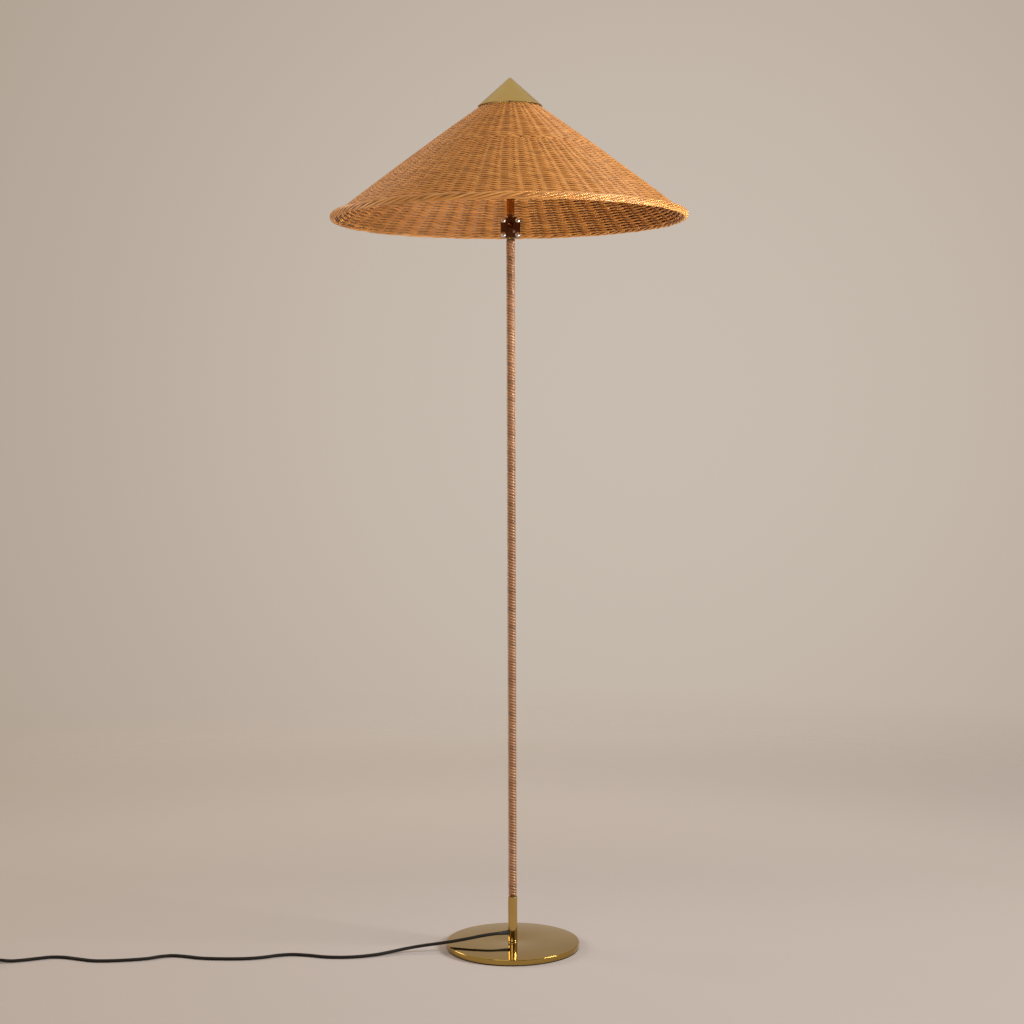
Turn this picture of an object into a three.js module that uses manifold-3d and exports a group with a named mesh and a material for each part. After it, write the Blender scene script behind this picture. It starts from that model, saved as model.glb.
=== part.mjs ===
// Rattan floor lamp: brass foot, cane-wound stem, four-screw clamp pivot and a woven rattan shade.
// Millimetres, +Z up, +X to the right, -Y to the front. The origin is the middle of the foot on the floor.

import * as THREE from 'three';
import { mergeVertices } from 'three/addons/utils/BufferGeometryUtils.js';
import Module from 'manifold-3d';

const wasm = await Module();
wasm.setup();

// Gaps
const seatGap = 0.3;
const runGap = 0.3;
const cutOverrun = 1;
const mergeTolerance = 0.001;

// Mains cord and the flex inside the stem
const cordRadius = 2.75;
const flexGap = 0.35;

// Foot
const baseRadius = 115.6;
const baseThickness = 9.2;
const baseEdgeChamfer = 0.9;
const padThickness = 1.4;
const padInset = 1.6;
const padHoleRadius = 16;
const recessDepth = 6;
const washerRadius = 10;
const washerThickness = 1.4;
const boltRadius = 4;
const boltHeadRadius = 7.5;
const boltHeadHeight = 4;
const boltTipInset = 1.5;
const footPlugHeight = 9.8;
const footHeight = 77.8;
const footWall = 1.7;
const footBeadHeight = 2;
const footBeadWidth = 0.7;

// Gland where the cord leaves the foot tube
const glandAngle = 200;
const glandPlugHeight = 9.7;
const glandNeckRadius = 3.4;
const glandFlangeRadius = 4.2;
const glandTipRadius = 3.1;
const glandLength = 18;

// Stem
const coreBoreRadius = 4.8;
const coreWall = 1.2;
const coreSocketDepth = 54;
const wrapThickness = 1.4;
const wrapLength = 1136.5;
const wrapPitch = 12.8;
const wrapGrooveDepth = 0.5;

// Swivel spigot on top of the stem
const spigotPlugDepth = 24;
const spigotFlangeThickness = 1.5;
const spigotHeight = 12.5;
const spigotGrooveHeight = 3;
const spigotGrooveDepth = 1.5;
const spigotLandHeight = 1.4;

// Clamp head: two jaws drawn together by four screws
const jawWidth = 33.5;
const jawHeight = 33.7;
const jawDepth = 11.7;
const jawSplit = 0.6;
const jawChamfer = 0.8;
const jawWindowRadius = 5;
const screwInset = 4.7;
const screwRadius = 2;
const screwHeadRadius = 4.5;
const screwHeadHeight = 3.4;
const nutRadius = 4.5;
const nutHeight = 5;
const nutThreadDepth = 3.4;
const pinRadius = 1.2;
const pinHeadRadius = 2.5;
const pinHeadHeight = 1.4;
const pinSocketRadius = 1.3;
const pinSocketDepth = 0.9;
const pinTailDepth = 8;

// Ball pivot and the tube over it
const tiltLimit = 18;
const ballRadius = 8;
const ballGap = 0.4;
const neckWall = 1.4;
const collarHeight = 2;
const tubeRadius = 6.5;
const tubeWall = 1.2;
const tubeLength = 38.7;
const ballSpigotLength = 12;

// Lampholder
const nippleLength = 24;
const nippleInTube = 16;
const nippleNutRadius = 8;
const nippleNutHeight = 3;
const cupWall = 1;
const cupHeight = 30;
const insulatorRadius = 18.7;
const insulatorHeight = 30;
const insulatorFloor = 8;
const threadShellRadius = 13.6;
const threadShellWall = 0.3;
const threadShellHeight = 19;
const contactRadius = 4;
const contactThickness = 1.2;
const skirtWall = 1.4;
const skirtHeight = 20;
const skirtFlangeWidth = 2.6;
const skirtFlangeThickness = 1.5;
const ringNutWidth = 4.4;
const ringNutHeight = 7;

// Bulb
const bulbCapHeight = 25;
const bulbCapWall = 0.5;
const bulbThreadDepth = 0.8;
const bulbThreads = 3;
const bulbTipRadius = 4.2;
const bulbConeHeight = 4.6;
const bulbNeckInsert = 4.5;
const bulbRadius = 30;
const bulbHeight = 85;
const bulbGlass = 1;

// Shade carrier
const bulbClearance = 7.1;
const carrierWireRadius = 2;
const carrierArmRadius = 1.75;
const carrierRingWidth = 8.6;
const carrierRingThickness = 1.6;
const carrierHubRadius = 6;
const carrierHubHeight = 4;
const carrierSeatShare = 0.008;

// Shade
const shadeTopRadius = 50;
const shadeRimRadius = 298.4;
const shadeDrop = 186.5;
const shadeBulge = 2.15;
const shadeWall = 4;
const stakeHeight = 1.4;
const stakeHalfWidth = 4.2;
const stakeInnerHeight = 1.6;
const stakeCrowdShare = 0.44;
const walingRadius = 148.5;
const walingHeight = 1.6;
const walingHalfWidth = 5;
const borderRadius = 5;
const innerStakeCount = 24;

// Cap over the shade
const capRadius = 54;
const capHeight = 50.3;
const capSheet = 1.2;
const capLip = 1;
const capTipRadius = 1.6;
const capBossRadius = 5;
const capBossDepth = 12;
const studRadius = 2.5;
const studShoulderRadius = 4;
const studTail = 9;
const capNutRadius = 4.6;
const capNutHeight = 4;

// Foot switch on the cord
const switchStart = [-889, -86];
const switchLength = 72;
const switchWidth = 42;
const switchBaseHeight = 8;
const switchCoverHeight = 11.7;
const switchWall = 2;
const switchCornerRadius = 9;
const switchChamfer = 1;
const switchBossRadius = 8;
const switchBossHeight = 4.4;
const switchGripLength = 10;
const switchGripRadius = 4.4;
const switchGripTipRadius = 3.3;
const switchCordHeight = 6;
const buttonRadius = 14;
const buttonProud = 3.5;
const buttonFlangeWidth = 2.4;
const buttonFlangeThickness = 2;
const buttonChamfer = 1.2;

// Coil of the cord that is put away
const coilCentre = [-985, -5];
const coilOuterRadius = 42;
const coilPitch = 6;
const coilTurns = 6;

// Plug
const plugStart = [-984, 76];
const plugLength = 35;
const plugWidth = 25.5;
const plugThickness = 13.6;
const plugChamfer = 1.4;
const plugTailWidth = 11;
const plugShoulderShare = 0.62;
const plugPinRadius = 2;
const plugPinLength = 19;
const plugPinSpacing = 18.6;
const plugPinRoot = 6;
const plugCordHeight = 6.8;

// Route of the cord from the gland to the switch, chosen by hand, in millimetres
const leadRoute = [
  [-42, -15.1, 25.7], [-56, -18.8, 24.4], [-73, -23.2, 22.2], [-100, -27, 18.3],
  [-128, -29, 14.6], [-156, -31, 11.4], [-182, -35.5, 8.2], [-206, -43, 5.2],
  [-230, -53, 3.3], [-256, -62.5, 2.75], [-285, -68, 2.75], [-319, -66, 2.75],
  [-350, -56, 2.75], [-378, -51, 2.75], [-402, -56, 2.75], [-427, -67.5, 2.75],
  [-453, -74, 2.75], [-490, -75, 2.75], [-530, -71, 2.75], [-560, -60.5, 2.75],
  [-583, -55.5, 2.75], [-603, -61, 2.75], [-622, -72, 2.75], [-650, -79.5, 2.75],
  [-687, -84.5, 2.75], [-713, -83.5, 2.75], [-741, -73, 2.75], [-766, -63.5, 2.75],
  [-789, -62, 2.75], [-811, -70, 2.75], [-834, -79.5, 2.75], [-853, -84.5, 3.1],
  [-868, -86, 4.8],
];

// Route from the switch to the coil
const tailRoute = [
  [-977, -85.6, 5], [-989, -84, 3.3], [-1002, -79.5, 2.75], [-1014, -71, 2.75],
  [-1022.5, -58.5, 2.75], [-1026.5, -43, 2.75], [-1027, -26, 2.75],
];

// Route from the coil to the plug
const endRoute = [
  [-1027, 19, 7.8], [-1026.8, 31, 5.7], [-1025.6, 43, 3.7], [-1021.5, 55, 2.9],
  [-1013.5, 66, 3.6], [-1002.5, 73.5, 5.4],
];

// Counts of facets
const roundSides = 20;
const smallSides = 12;
const discSides = 48;
const midSides = 16;
const cordSides = 8;
const coilSides = 6;
const coilSteps = 24;
const wrapSides = 8;

// Sizes that follow from those above
const flexBore = cordRadius + flexGap;
const spigotRadius = coreBoreRadius + coreWall;
const footBore = spigotRadius + seatGap;
const footRadius = footBore + footWall;
const wrapBore = spigotRadius + seatGap;
const wrapRadius = wrapBore + wrapThickness;
const spigotPlugRadius = coreBoreRadius - seatGap;
const boltHoleRadius = boltRadius + seatGap;
const recessRadius = washerRadius + seatGap;
const neckRadius = flexBore + neckWall;
const tubeBore = tubeRadius - tubeWall;
const nippleRadius = tubeBore - seatGap;
const cupBore = insulatorRadius + seatGap;
const skirtRadius = cupBore + skirtWall;
const bulbCapRadius = threadShellRadius - threadShellWall - seatGap;
const bulbNeckRadius = bulbCapRadius - bulbThreadDepth - bulbCapWall - seatGap;
const outerStakeCount = 2 * innerStakeCount;
const tiltAngle = THREE.MathUtils.degToRad(tiltLimit);

// Heights above the floor
const baseBottom = padThickness + seatGap;
const baseTop = baseBottom + baseThickness;
const footBottom = baseTop + seatGap;
const footTop = footBottom + footHeight;
const boltSeat = baseBottom + recessDepth - washerThickness - 2 * seatGap;
const glandBottom = footBottom + footPlugHeight + seatGap;
const glandTop = glandBottom + glandPlugHeight;
const cordExitHeight = (glandBottom + glandTop) / 2;
const wrapBottom = footTop + seatGap;
const wrapTop = wrapBottom + wrapLength;
const flangeBottom = wrapTop + seatGap;
const jawBottom = flangeBottom + spigotFlangeThickness + runGap;
const jawTop = jawBottom + jawHeight;
const ballHeight = jawBottom + spigotHeight + ballGap + ballRadius;

// The collar clears the jaws' top with the shade at its tilt limit
const collarLift = (jawTop - ballHeight + runGap + tubeRadius * Math.sin(tiltAngle)) / Math.cos(tiltAngle);
const tubeLift = collarLift + collarHeight + seatGap;
const cupLift = tubeLift + tubeLength + seatGap;
const insulatorLift = tubeLift + tubeLength - nippleInTube + nippleLength + seatGap;
const skirtLift = cupLift + cupHeight + seatGap;
const carrierLift = skirtLift + skirtFlangeThickness + seatGap;
const bulbLift = insulatorLift + insulatorFloor + seatGap + contactThickness + seatGap;
const bulbTopLift = bulbLift + bulbCapHeight - bulbNeckInsert + bulbHeight;

// The stud's lower end clears the bulb
const carrierHeight = bulbTopLift + bulbClearance + studTail - seatGap - carrierHubHeight / 2 - carrierLift;

/** A closed mesh of any geometry: positions only, corners merged, flat triangles dropped, faces out. */
function closedMesh(geometry) {
  const bare = new THREE.BufferGeometry();
  bare.setAttribute('position', geometry.getAttribute('position').clone());
  bare.setIndex(geometry.index);
  const merged = mergeVertices(bare, mergeTolerance);
  const corners = merged.getAttribute('position');
  const a = new THREE.Vector3();
  const b = new THREE.Vector3();
  const c = new THREE.Vector3();
  const faces = [];
  let volume = 0;
  for (let i = 0; i < merged.index.count; i += 3) {
    const face = [merged.index.getX(i), merged.index.getX(i + 1), merged.index.getX(i + 2)];
    if (new Set(face).size < 3) continue;
    a.fromBufferAttribute(corners, face[0]);
    b.fromBufferAttribute(corners, face[1]);
    c.fromBufferAttribute(corners, face[2]);
    volume += a.dot(b.cross(c));
    faces.push(face);
  }
  if (volume < 0) faces.forEach((face) => face.reverse());
  merged.setIndex(faces.flat());
  return merged;
}

/** A solid for joining and cutting. */
function toSolid(geometry) {
  const mesh = closedMesh(geometry);
  return new wasm.Manifold(new wasm.Mesh({
    numProp: 3,
    vertProperties: mesh.getAttribute('position').array,
    triVerts: new Uint32Array(mesh.index.array),
  }));
}

/** The geometry of a joined or cut solid. */
function fromSolid(solid) {
  const mesh = solid.getMesh();
  const geometry = new THREE.BufferGeometry();
  geometry.setAttribute('position', new THREE.BufferAttribute(Float32Array.from(mesh.vertProperties), 3));
  geometry.setIndex(Array.from(mesh.triVerts));
  return geometry;
}

/** A geometry less its cutters. */
function cut(geometry, ...cutters) {
  return fromSolid(cutters.reduce((left, cutter) => left.subtract(toSolid(cutter)), toSolid(geometry)));
}

/** Several geometries as one. */
function join(...geometries) {
  return fromSolid(geometries.map(toSolid).reduce((whole, piece) => whole.add(piece)));
}

/** A profile of [radius, height] pairs, closed on itself, turned round the Z axis. */
function revolve(profile, sides = roundSides) {
  const points = [...profile, profile[0]].map(([radius, height]) => new THREE.Vector2(radius, height));
  return new THREE.LatheGeometry(points, sides).rotateX(Math.PI / 2);
}

/** A plain ring or washer between two radii and two heights. */
function ring(innerRadius, outerRadius, bottom, top, sides = roundSides) {
  return revolve([[innerRadius, bottom], [outerRadius, bottom], [outerRadius, top], [innerRadius, top]], sides);
}

/** A round bar along Z between two heights. */
function bar(radius, bottom, top, sides = roundSides) {
  const geometry = new THREE.CylinderGeometry(radius, radius, top - bottom, sides).rotateX(Math.PI / 2);
  return geometry.translate(0, 0, (bottom + top) / 2);
}

/** A round bar along Y between two places, at a given x and z. */
function crossBar(radius, x, z, front, back, sides = smallSides) {
  const geometry = new THREE.CylinderGeometry(radius, radius, back - front, sides);
  return geometry.translate(x, (front + back) / 2, z);
}

/** A round bar, or a cone, from one point to another. */
function strut(from, to, radius, sides, endRadius = radius) {
  const start = new THREE.Vector3(...from);
  const end = new THREE.Vector3(...to);
  const along = end.clone().sub(start);
  const geometry = new THREE.CylinderGeometry(endRadius, radius, along.length(), sides);
  const turn = new THREE.Quaternion().setFromUnitVectors(THREE.Object3D.DEFAULT_UP, along.clone().normalize());
  return geometry.applyQuaternion(turn).translate(...start.lerp(end, 0.5).toArray());
}

/** Points of an arc about a centre, as [radius, height] pairs, angles in degrees from level. */
function arc(radius, fromAngle, toAngle, steps, centreHeight = 0) {
  return Array.from({ length: steps + 1 }, (_, i) => {
    const angle = THREE.MathUtils.degToRad(fromAngle + ((toAngle - fromAngle) * i) / steps);
    return [radius * Math.cos(angle), centreHeight + radius * Math.sin(angle)];
  });
}

/** A rectangle with round corners, centred on the origin. */
function roundedRectangle(width, height, corner) {
  const shape = new THREE.Shape();
  const x = width / 2 - corner;
  const y = height / 2 - corner;
  shape.absarc(x, y, corner, 0, Math.PI / 2);
  shape.absarc(-x, y, corner, Math.PI / 2, Math.PI);
  shape.absarc(-x, -y, corner, Math.PI, 1.5 * Math.PI);
  shape.absarc(x, -y, corner, 1.5 * Math.PI, 2 * Math.PI);
  shape.closePath();
  return shape;
}

/** An outline raised along Z from zero to a height, its edges broken by a chamfer. */
function raise(shape, height, chamfer, cornerSteps = 3) {
  const bevel = { bevelThickness: chamfer, bevelSize: chamfer, bevelOffset: -chamfer, bevelSegments: 1 };
  const options = { depth: height - 2 * chamfer, curveSegments: cornerSteps, bevelEnabled: chamfer > 0, ...bevel };
  return new THREE.ExtrudeGeometry(shape, options).translate(0, 0, chamfer);
}

/** A round tube of full section along a curve. */
function tubeAlong(curve, radius, sides, steps) {
  const section = new THREE.Shape();
  for (let i = 0; i < sides; i += 1) {
    const angle = (2 * Math.PI * i) / sides;
    section[i ? 'lineTo' : 'moveTo'](radius * Math.cos(angle), radius * Math.sin(angle));
  }
  section.closePath();
  return new THREE.ExtrudeGeometry(section, { steps, bevelEnabled: false, extrudePath: curve });
}

/** A smooth curve through hand-chosen points. */
function routeCurve(points) {
  const curve = new THREE.CatmullRomCurve3(points.map((point) => new THREE.Vector3(...point)), false, 'centripetal');
  curve.arcLengthDivisions = 40 * points.length;
  return curve;
}

/** A closed skin over rows of points: each row is a full turn, and the last row joins the first. */
function skin(rows) {
  const sides = rows[0].length;
  const positions = rows.flat(2);
  const faces = [];
  rows.forEach((_, j) => {
    const next = (j + 1) % rows.length;
    for (let i = 0; i < sides; i += 1) {
      const k = (i + 1) % sides;
      const [a, b, c, d] = [j * sides + i, j * sides + k, next * sides + k, next * sides + i];
      faces.push(a, b, c, a, c, d);
    }
  });
  const geometry = new THREE.BufferGeometry();
  geometry.setAttribute('position', new THREE.Float32BufferAttribute(positions, 3));
  geometry.setIndex(faces);
  return geometry;
}

const finishes = {
  polishedBrass: { color: 0xb08d4a, roughness: 0.12, metalness: 1 },
  darkBronze: { color: 0x3a2418, roughness: 0.22, metalness: 1 },
  brightSteel: { color: 0xd9d6d0, roughness: 0.2, metalness: 1 },
  steel: { color: 0x9a9a98, roughness: 0.45, metalness: 1 },
  cane: { color: 0xc29a6c, roughness: 0.55, metalness: 0 },
  rattan: { color: 0xb9813f, roughness: 0.6, metalness: 0 },
  blackCord: { color: 0x14110f, roughness: 0.85, metalness: 0 },
  blackPlastic: { color: 0x18171a, roughness: 0.4, metalness: 0 },
  rubber: { color: 0x1b1a19, roughness: 0.8, metalness: 0 },
  felt: { color: 0x201d1b, roughness: 0.95, metalness: 0 },
  porcelain: { color: 0xece8de, roughness: 0.3, metalness: 0 },
  opalGlass: { color: 0xf6f1e6, roughness: 0.15, metalness: 0 },
};

/** A named piece with its own material. */
function piece(name, geometry, finish) {
  const mesh = new THREE.Mesh(closedMesh(geometry), new THREE.MeshStandardMaterial(finishes[finish]));
  mesh.name = name;
  return mesh;
}

/** A group of pieces at a height on the lamp's axis. */
function groupAt(height, ...pieces) {
  const group = new THREE.Group();
  group.position.z = height;
  group.add(...pieces);
  return group;
}

function basePad() {
  return ring(padHoleRadius, baseRadius - padInset, 0, padThickness, discSides);
}

function baseDisc() {
  return revolve([
    [recessRadius, 0],
    [baseRadius - baseEdgeChamfer, 0],
    [baseRadius, baseEdgeChamfer],
    [baseRadius, baseThickness - baseEdgeChamfer],
    [baseRadius - baseEdgeChamfer, baseThickness],
    [boltHoleRadius, baseThickness],
    [boltHoleRadius, recessDepth],
    [recessRadius, recessDepth],
  ], discSides);
}

function baseWasher() {
  return ring(boltHoleRadius, washerRadius, -washerThickness, 0, roundSides);
}

function baseBolt() {
  const head = bar(boltHeadRadius, -boltHeadHeight, 0, 6);
  const reach = footBottom + footPlugHeight - boltTipInset - boltSeat;
  return join(head, bar(boltRadius, -boltHeadHeight / 2, reach, smallSides));
}

function footPlug() {
  return ring(boltHoleRadius, footBore - seatGap, 0, footPlugHeight, roundSides);
}

function glandDirection() {
  const angle = THREE.MathUtils.degToRad(glandAngle);
  return [Math.cos(angle), Math.sin(angle)];
}

/** A point on the gland's axis, at a distance from the stem's axis. */
function glandPoint(distance) {
  const [x, y] = glandDirection();
  return [distance * x, distance * y, cordExitHeight - footBottom];
}

function footTube() {
  const wall = revolve([
    [footBore, 0],
    [footRadius + footBeadWidth, 0],
    [footRadius + footBeadWidth, footBeadHeight],
    [footRadius, footBeadHeight + footBeadWidth],
    [footRadius, footHeight],
    [footBore, footHeight],
  ]);
  return cut(wall, strut(glandPoint(0), glandPoint(footRadius + cutOverrun), glandNeckRadius + seatGap, smallSides));
}

function glandMouth() {
  return footRadius + seatGap + glandLength;
}

/** Cord gland: a plug in the tube, a neck through its wall and a taper along the cord outside. */
function cordGland() {
  const plugBottom = glandBottom - footBottom;
  const plug = bar(footBore - seatGap, plugBottom, plugBottom + glandPlugHeight, roundSides);
  const flange = footRadius + seatGap;
  const neck = strut(glandPoint(0), glandPoint(flange + cutOverrun), glandNeckRadius, smallSides);
  const taper = strut(glandPoint(flange), glandPoint(glandMouth()), glandFlangeRadius, smallSides, glandTipRadius);
  return join(plug, neck, taper);
}

function stemCore() {
  return ring(coreBoreRadius, spigotRadius, footTop - coreSocketDepth, wrapTop, midSides);
}

/**
 * Cane wound on the stem: a sleeve whose outside follows a helix, with a ridge and a groove a turn.
 * Rows run half a turn's pitch apart and rise by a pitch as they go round, and are held level at both ends.
 */
function stemWrap() {
  const rowCount = 2 * Math.round(wrapLength / wrapPitch);
  const rise = wrapLength / (rowCount / 2);
  const corners = [];
  const place = (row, side) => {
    const turns = (row - 2) / 2 + side / wrapSides;
    const height = THREE.MathUtils.clamp(turns * rise, 0, wrapLength);
    const level = height === 0 || height === wrapLength;
    const radius = level || row % 2 ? wrapRadius - wrapGrooveDepth : wrapRadius;
    const angle = (2 * Math.PI * side) / wrapSides;
    return [radius * Math.cos(angle), radius * Math.sin(angle), height];
  };
  for (let row = 0; row <= rowCount + 2; row += 1) {
    for (let side = 0; side < wrapSides; side += 1) corners.push(place(row, side));
  }
  const bore = (height) => Array.from({ length: 2 * wrapSides }, (_, side) => {
    const angle = (Math.PI * side) / wrapSides;
    return [wrapBore * Math.cos(angle), wrapBore * Math.sin(angle), height];
  });
  return helicalSleeve(corners, wrapSides, [...bore(0), ...bore(wrapLength)]);
}

/** A sleeve from a helical lattice, each row joining the row two above it, with a bore of twice the sides. */
function helicalSleeve(corners, sides, boreCorners) {
  const rows = corners.length / sides;
  const faces = [];
  const at = (row, side) => (side === sides ? Math.min(row + 2, rows - 1) * sides : row * sides + side);
  for (let row = 0; row < rows - 1; row += 1) {
    for (let side = 0; side < sides; side += 1) {
      const [a, b, c, d] = [at(row, side), at(row, side + 1), at(row + 1, side + 1), at(row + 1, side)];
      faces.push(a, b, c, a, c, d);
    }
  }
  const boreStart = corners.length;
  const top = (rows - 1) * sides;
  for (let side = 0; side < sides; side += 1) {
    const next = (side + 1) % sides;
    const low = [2 * side, 2 * side + 1, 2 * next].map((corner) => boreStart + corner);
    const high = low.map((corner) => corner + 2 * sides);
    faces.push(low[0], low[1], side, low[1], next, side, low[1], low[2], next);
    faces.push(high[1], high[0], top + side, high[1], top + side, top + next, high[2], high[1], top + next);
    for (let half = 0; half < 2; half += 1) {
      faces.push(low[half + 1], low[half], high[half], low[half + 1], high[half], high[half + 1]);
    }
  }
  const geometry = new THREE.BufferGeometry();
  geometry.setAttribute('position', new THREE.Float32BufferAttribute([...corners, ...boreCorners].flat(), 3));
  geometry.setIndex(faces);
  return geometry;
}

/** Swivel spigot: a plug in the stem, a flange over the cane and a grooved journal for the jaws. */
function swivelSpigot() {
  const journalBottom = spigotFlangeThickness;
  const journalTop = spigotFlangeThickness + runGap + spigotHeight;
  const grooveTop = journalTop - spigotLandHeight;
  const grooveBottom = grooveTop - spigotGrooveHeight;
  return revolve([
    [flexBore, -spigotPlugDepth],
    [spigotPlugRadius, -spigotPlugDepth],
    [spigotPlugRadius, 0],
    [wrapRadius, 0],
    [wrapRadius, spigotFlangeThickness],
    [spigotRadius, journalBottom],
    [spigotRadius, grooveBottom],
    [spigotRadius - spigotGrooveDepth, grooveBottom],
    [spigotRadius - spigotGrooveDepth, grooveTop],
    [spigotRadius, grooveTop],
    [spigotRadius, journalTop],
    [flexBore, journalTop],
  ], roundSides);
}

function stemFlex() {
  return bar(cordRadius, glandTop + seatGap, jawBottom + spigotHeight, cordSides);
}

/** Height of the retaining pin above the jaws' lower face: the middle of the spigot's groove. */
function pinLift() {
  return spigotHeight - spigotLandHeight - spigotGrooveHeight / 2;
}

/** The pin runs in the groove, its side a gap away from the groove's floor. */
function pinOffset() {
  return spigotRadius - spigotGrooveDepth + runGap + pinRadius;
}

/** Places of the four clamp screws, as [name, x, height above the jaws' lower face]. */
function screwPlaces() {
  const x = jawWidth / 2 - screwInset;
  const low = screwInset;
  const high = jawHeight - screwInset;
  return [['lower_left', -x, low], ['lower_right', x, low], ['upper_left', -x, high], ['upper_right', x, high]];
}

/** One jaw, side -1 to the front and 1 to the rear, with its half of every pocket. */
function clampJaw(side) {
  const outline = roundedRectangle(jawWidth, jawHeight, screwInset);
  const plate = raise(outline, jawDepth, jawChamfer).translate(0, jawHeight / 2, jawSplit / 2);
  const ballLift = ballHeight - jawBottom;
  const reach = jawSplit / 2 + jawDepth + cutOverrun;
  const mouth = neckRadius + runGap;
  const halfWidth = (lift) => lift * Math.tan(tiltAngle) + mouth / Math.cos(tiltAngle);
  const slotTop = jawHeight + cutOverrun;
  const fan = new THREE.Shape([
    new THREE.Vector2(-halfWidth(0), ballLift),
    new THREE.Vector2(halfWidth(0), ballLift),
    new THREE.Vector2(halfWidth(slotTop - ballLift), slotTop),
    new THREE.Vector2(-halfWidth(slotTop - ballLift), slotTop),
  ]);
  const slot = new THREE.ExtrudeGeometry(fan, { depth: 2 * mouth, bevelEnabled: false });
  const recessFront = -(jawSplit / 2 + jawDepth);
  const ballPocket = new THREE.SphereGeometry(ballRadius + ballGap, midSides, midSides / 2).translate(0, 0, ballLift);
  return cut(
    plate.rotateX(side < 0 ? Math.PI / 2 : -Math.PI / 2).translate(0, 0, side < 0 ? 0 : jawHeight),
    bar(spigotRadius + runGap, -cutOverrun, spigotHeight + ballGap, roundSides),
    ballPocket,
    slot.rotateX(Math.PI / 2).translate(0, mouth, 0),
    crossBar(jawWindowRadius, 0, ballLift, -reach, reach),
    ...screwPlaces().map(([, x, lift]) => crossBar(screwRadius + seatGap, x, lift, -reach, reach)),
    crossBar(pinRadius + seatGap, pinOffset(), pinLift(), -reach, pinTailDepth + seatGap),
    crossBar(pinHeadRadius + seatGap, pinOffset(), pinLift(), -reach, recessFront + pinHeadHeight),
  );
}

/** Domed screw: the head in front of the jaws, the shank through both. */
function clampScrew() {
  const length = jawSplit + 2 * jawDepth + 2 * seatGap + nutThreadDepth - seatGap;
  const dome = arc(screwHeadRadius, -90, -20, 2).map(([radius, height]) => [radius, height * (screwHeadHeight / screwHeadRadius)]);
  return revolve([...dome, [screwHeadRadius, 0], [screwRadius, 0], [screwRadius, length], [0, length]], smallSides);
}

/** Domed cap nut with a blind hole. */
function clampNut() {
  const dome = arc(nutRadius, 20, 90, 2).map(([radius, height]) => [radius, height * (nutHeight / nutRadius)]);
  const hole = screwRadius + seatGap;
  return revolve([[hole, 0], [nutRadius, 0], ...dome, [0, nutThreadDepth], [hole, nutThreadDepth]], smallSides);
}

/** Socket screw whose shank holds the jaws on the spigot. */
function retainingScrew() {
  const length = jawSplit / 2 + jawDepth - pinHeadHeight + pinTailDepth;
  return revolve([
    [0, pinSocketDepth - pinHeadHeight],
    [pinSocketRadius, pinSocketDepth - pinHeadHeight],
    [pinSocketRadius, -pinHeadHeight],
    [pinHeadRadius, -pinHeadHeight],
    [pinHeadRadius, -seatGap],
    [pinRadius, -seatGap],
    [pinRadius, length],
    [0, length],
  ], smallSides);
}

/** Hollow ball, neck, collar and the spigot inside the upper tube. */
function pivotBall() {
  const flare = flexBore + neckWall / 2;
  const flareAngle = THREE.MathUtils.radToDeg(Math.acos(flare / ballRadius));
  const neckAngle = THREE.MathUtils.radToDeg(Math.acos(neckRadius / ballRadius));
  const collarTop = collarLift + collarHeight;
  return revolve([
    ...arc(ballRadius, -flareAngle, neckAngle, midSides / 2),
    [neckRadius, collarLift],
    [tubeRadius, collarLift],
    [tubeRadius, collarTop],
    [nippleRadius, collarTop],
    [nippleRadius, collarTop + ballSpigotLength],
    [flexBore, collarTop + ballSpigotLength],
    [flexBore, -ballRadius / 2],
  ], midSides);
}

function headFlex() {
  return bar(cordRadius, -ballRadius / 2, insulatorLift - seatGap, cordSides);
}

function upperTube() {
  return ring(tubeBore, tubeRadius, 0, tubeLength);
}

function holderNipple() {
  return ring(flexBore, nippleRadius, 0, nippleLength, smallSides);
}

function nippleNut() {
  return cut(bar(nippleNutRadius, 0, nippleNutHeight, 6), bar(nippleRadius + seatGap, -cutOverrun, nippleNutHeight + cutOverrun, smallSides));
}

function holderCup() {
  const outer = cupBore + cupWall;
  return revolve([
    [nippleRadius + seatGap, 0],
    [outer - cupWall, 0],
    [outer, cupWall],
    [outer, cupHeight],
    [cupBore, cupHeight],
    [cupBore, cupWall],
    [nippleRadius + seatGap, cupWall],
  ]);
}

function holderInsulator() {
  const bore = threadShellRadius + seatGap;
  return revolve([
    [0, 0],
    [insulatorRadius, 0],
    [insulatorRadius, insulatorHeight],
    [bore, insulatorHeight],
    [bore, insulatorFloor],
    [0, insulatorFloor],
  ]);
}

function threadShell() {
  return ring(threadShellRadius - threadShellWall, threadShellRadius, 0, threadShellHeight);
}

function centreContact() {
  return bar(contactRadius, 0, contactThickness, smallSides);
}

function holderSkirt() {
  return revolve([
    [cupBore, 0],
    [skirtRadius + skirtFlangeWidth, 0],
    [skirtRadius + skirtFlangeWidth, skirtFlangeThickness],
    [skirtRadius, skirtFlangeThickness],
    [skirtRadius, skirtHeight],
    [cupBore, skirtHeight],
  ]);
}

function shadeRingNut() {
  return ring(skirtRadius + seatGap, skirtRadius + seatGap + ringNutWidth, 0, ringNutHeight);
}

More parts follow.
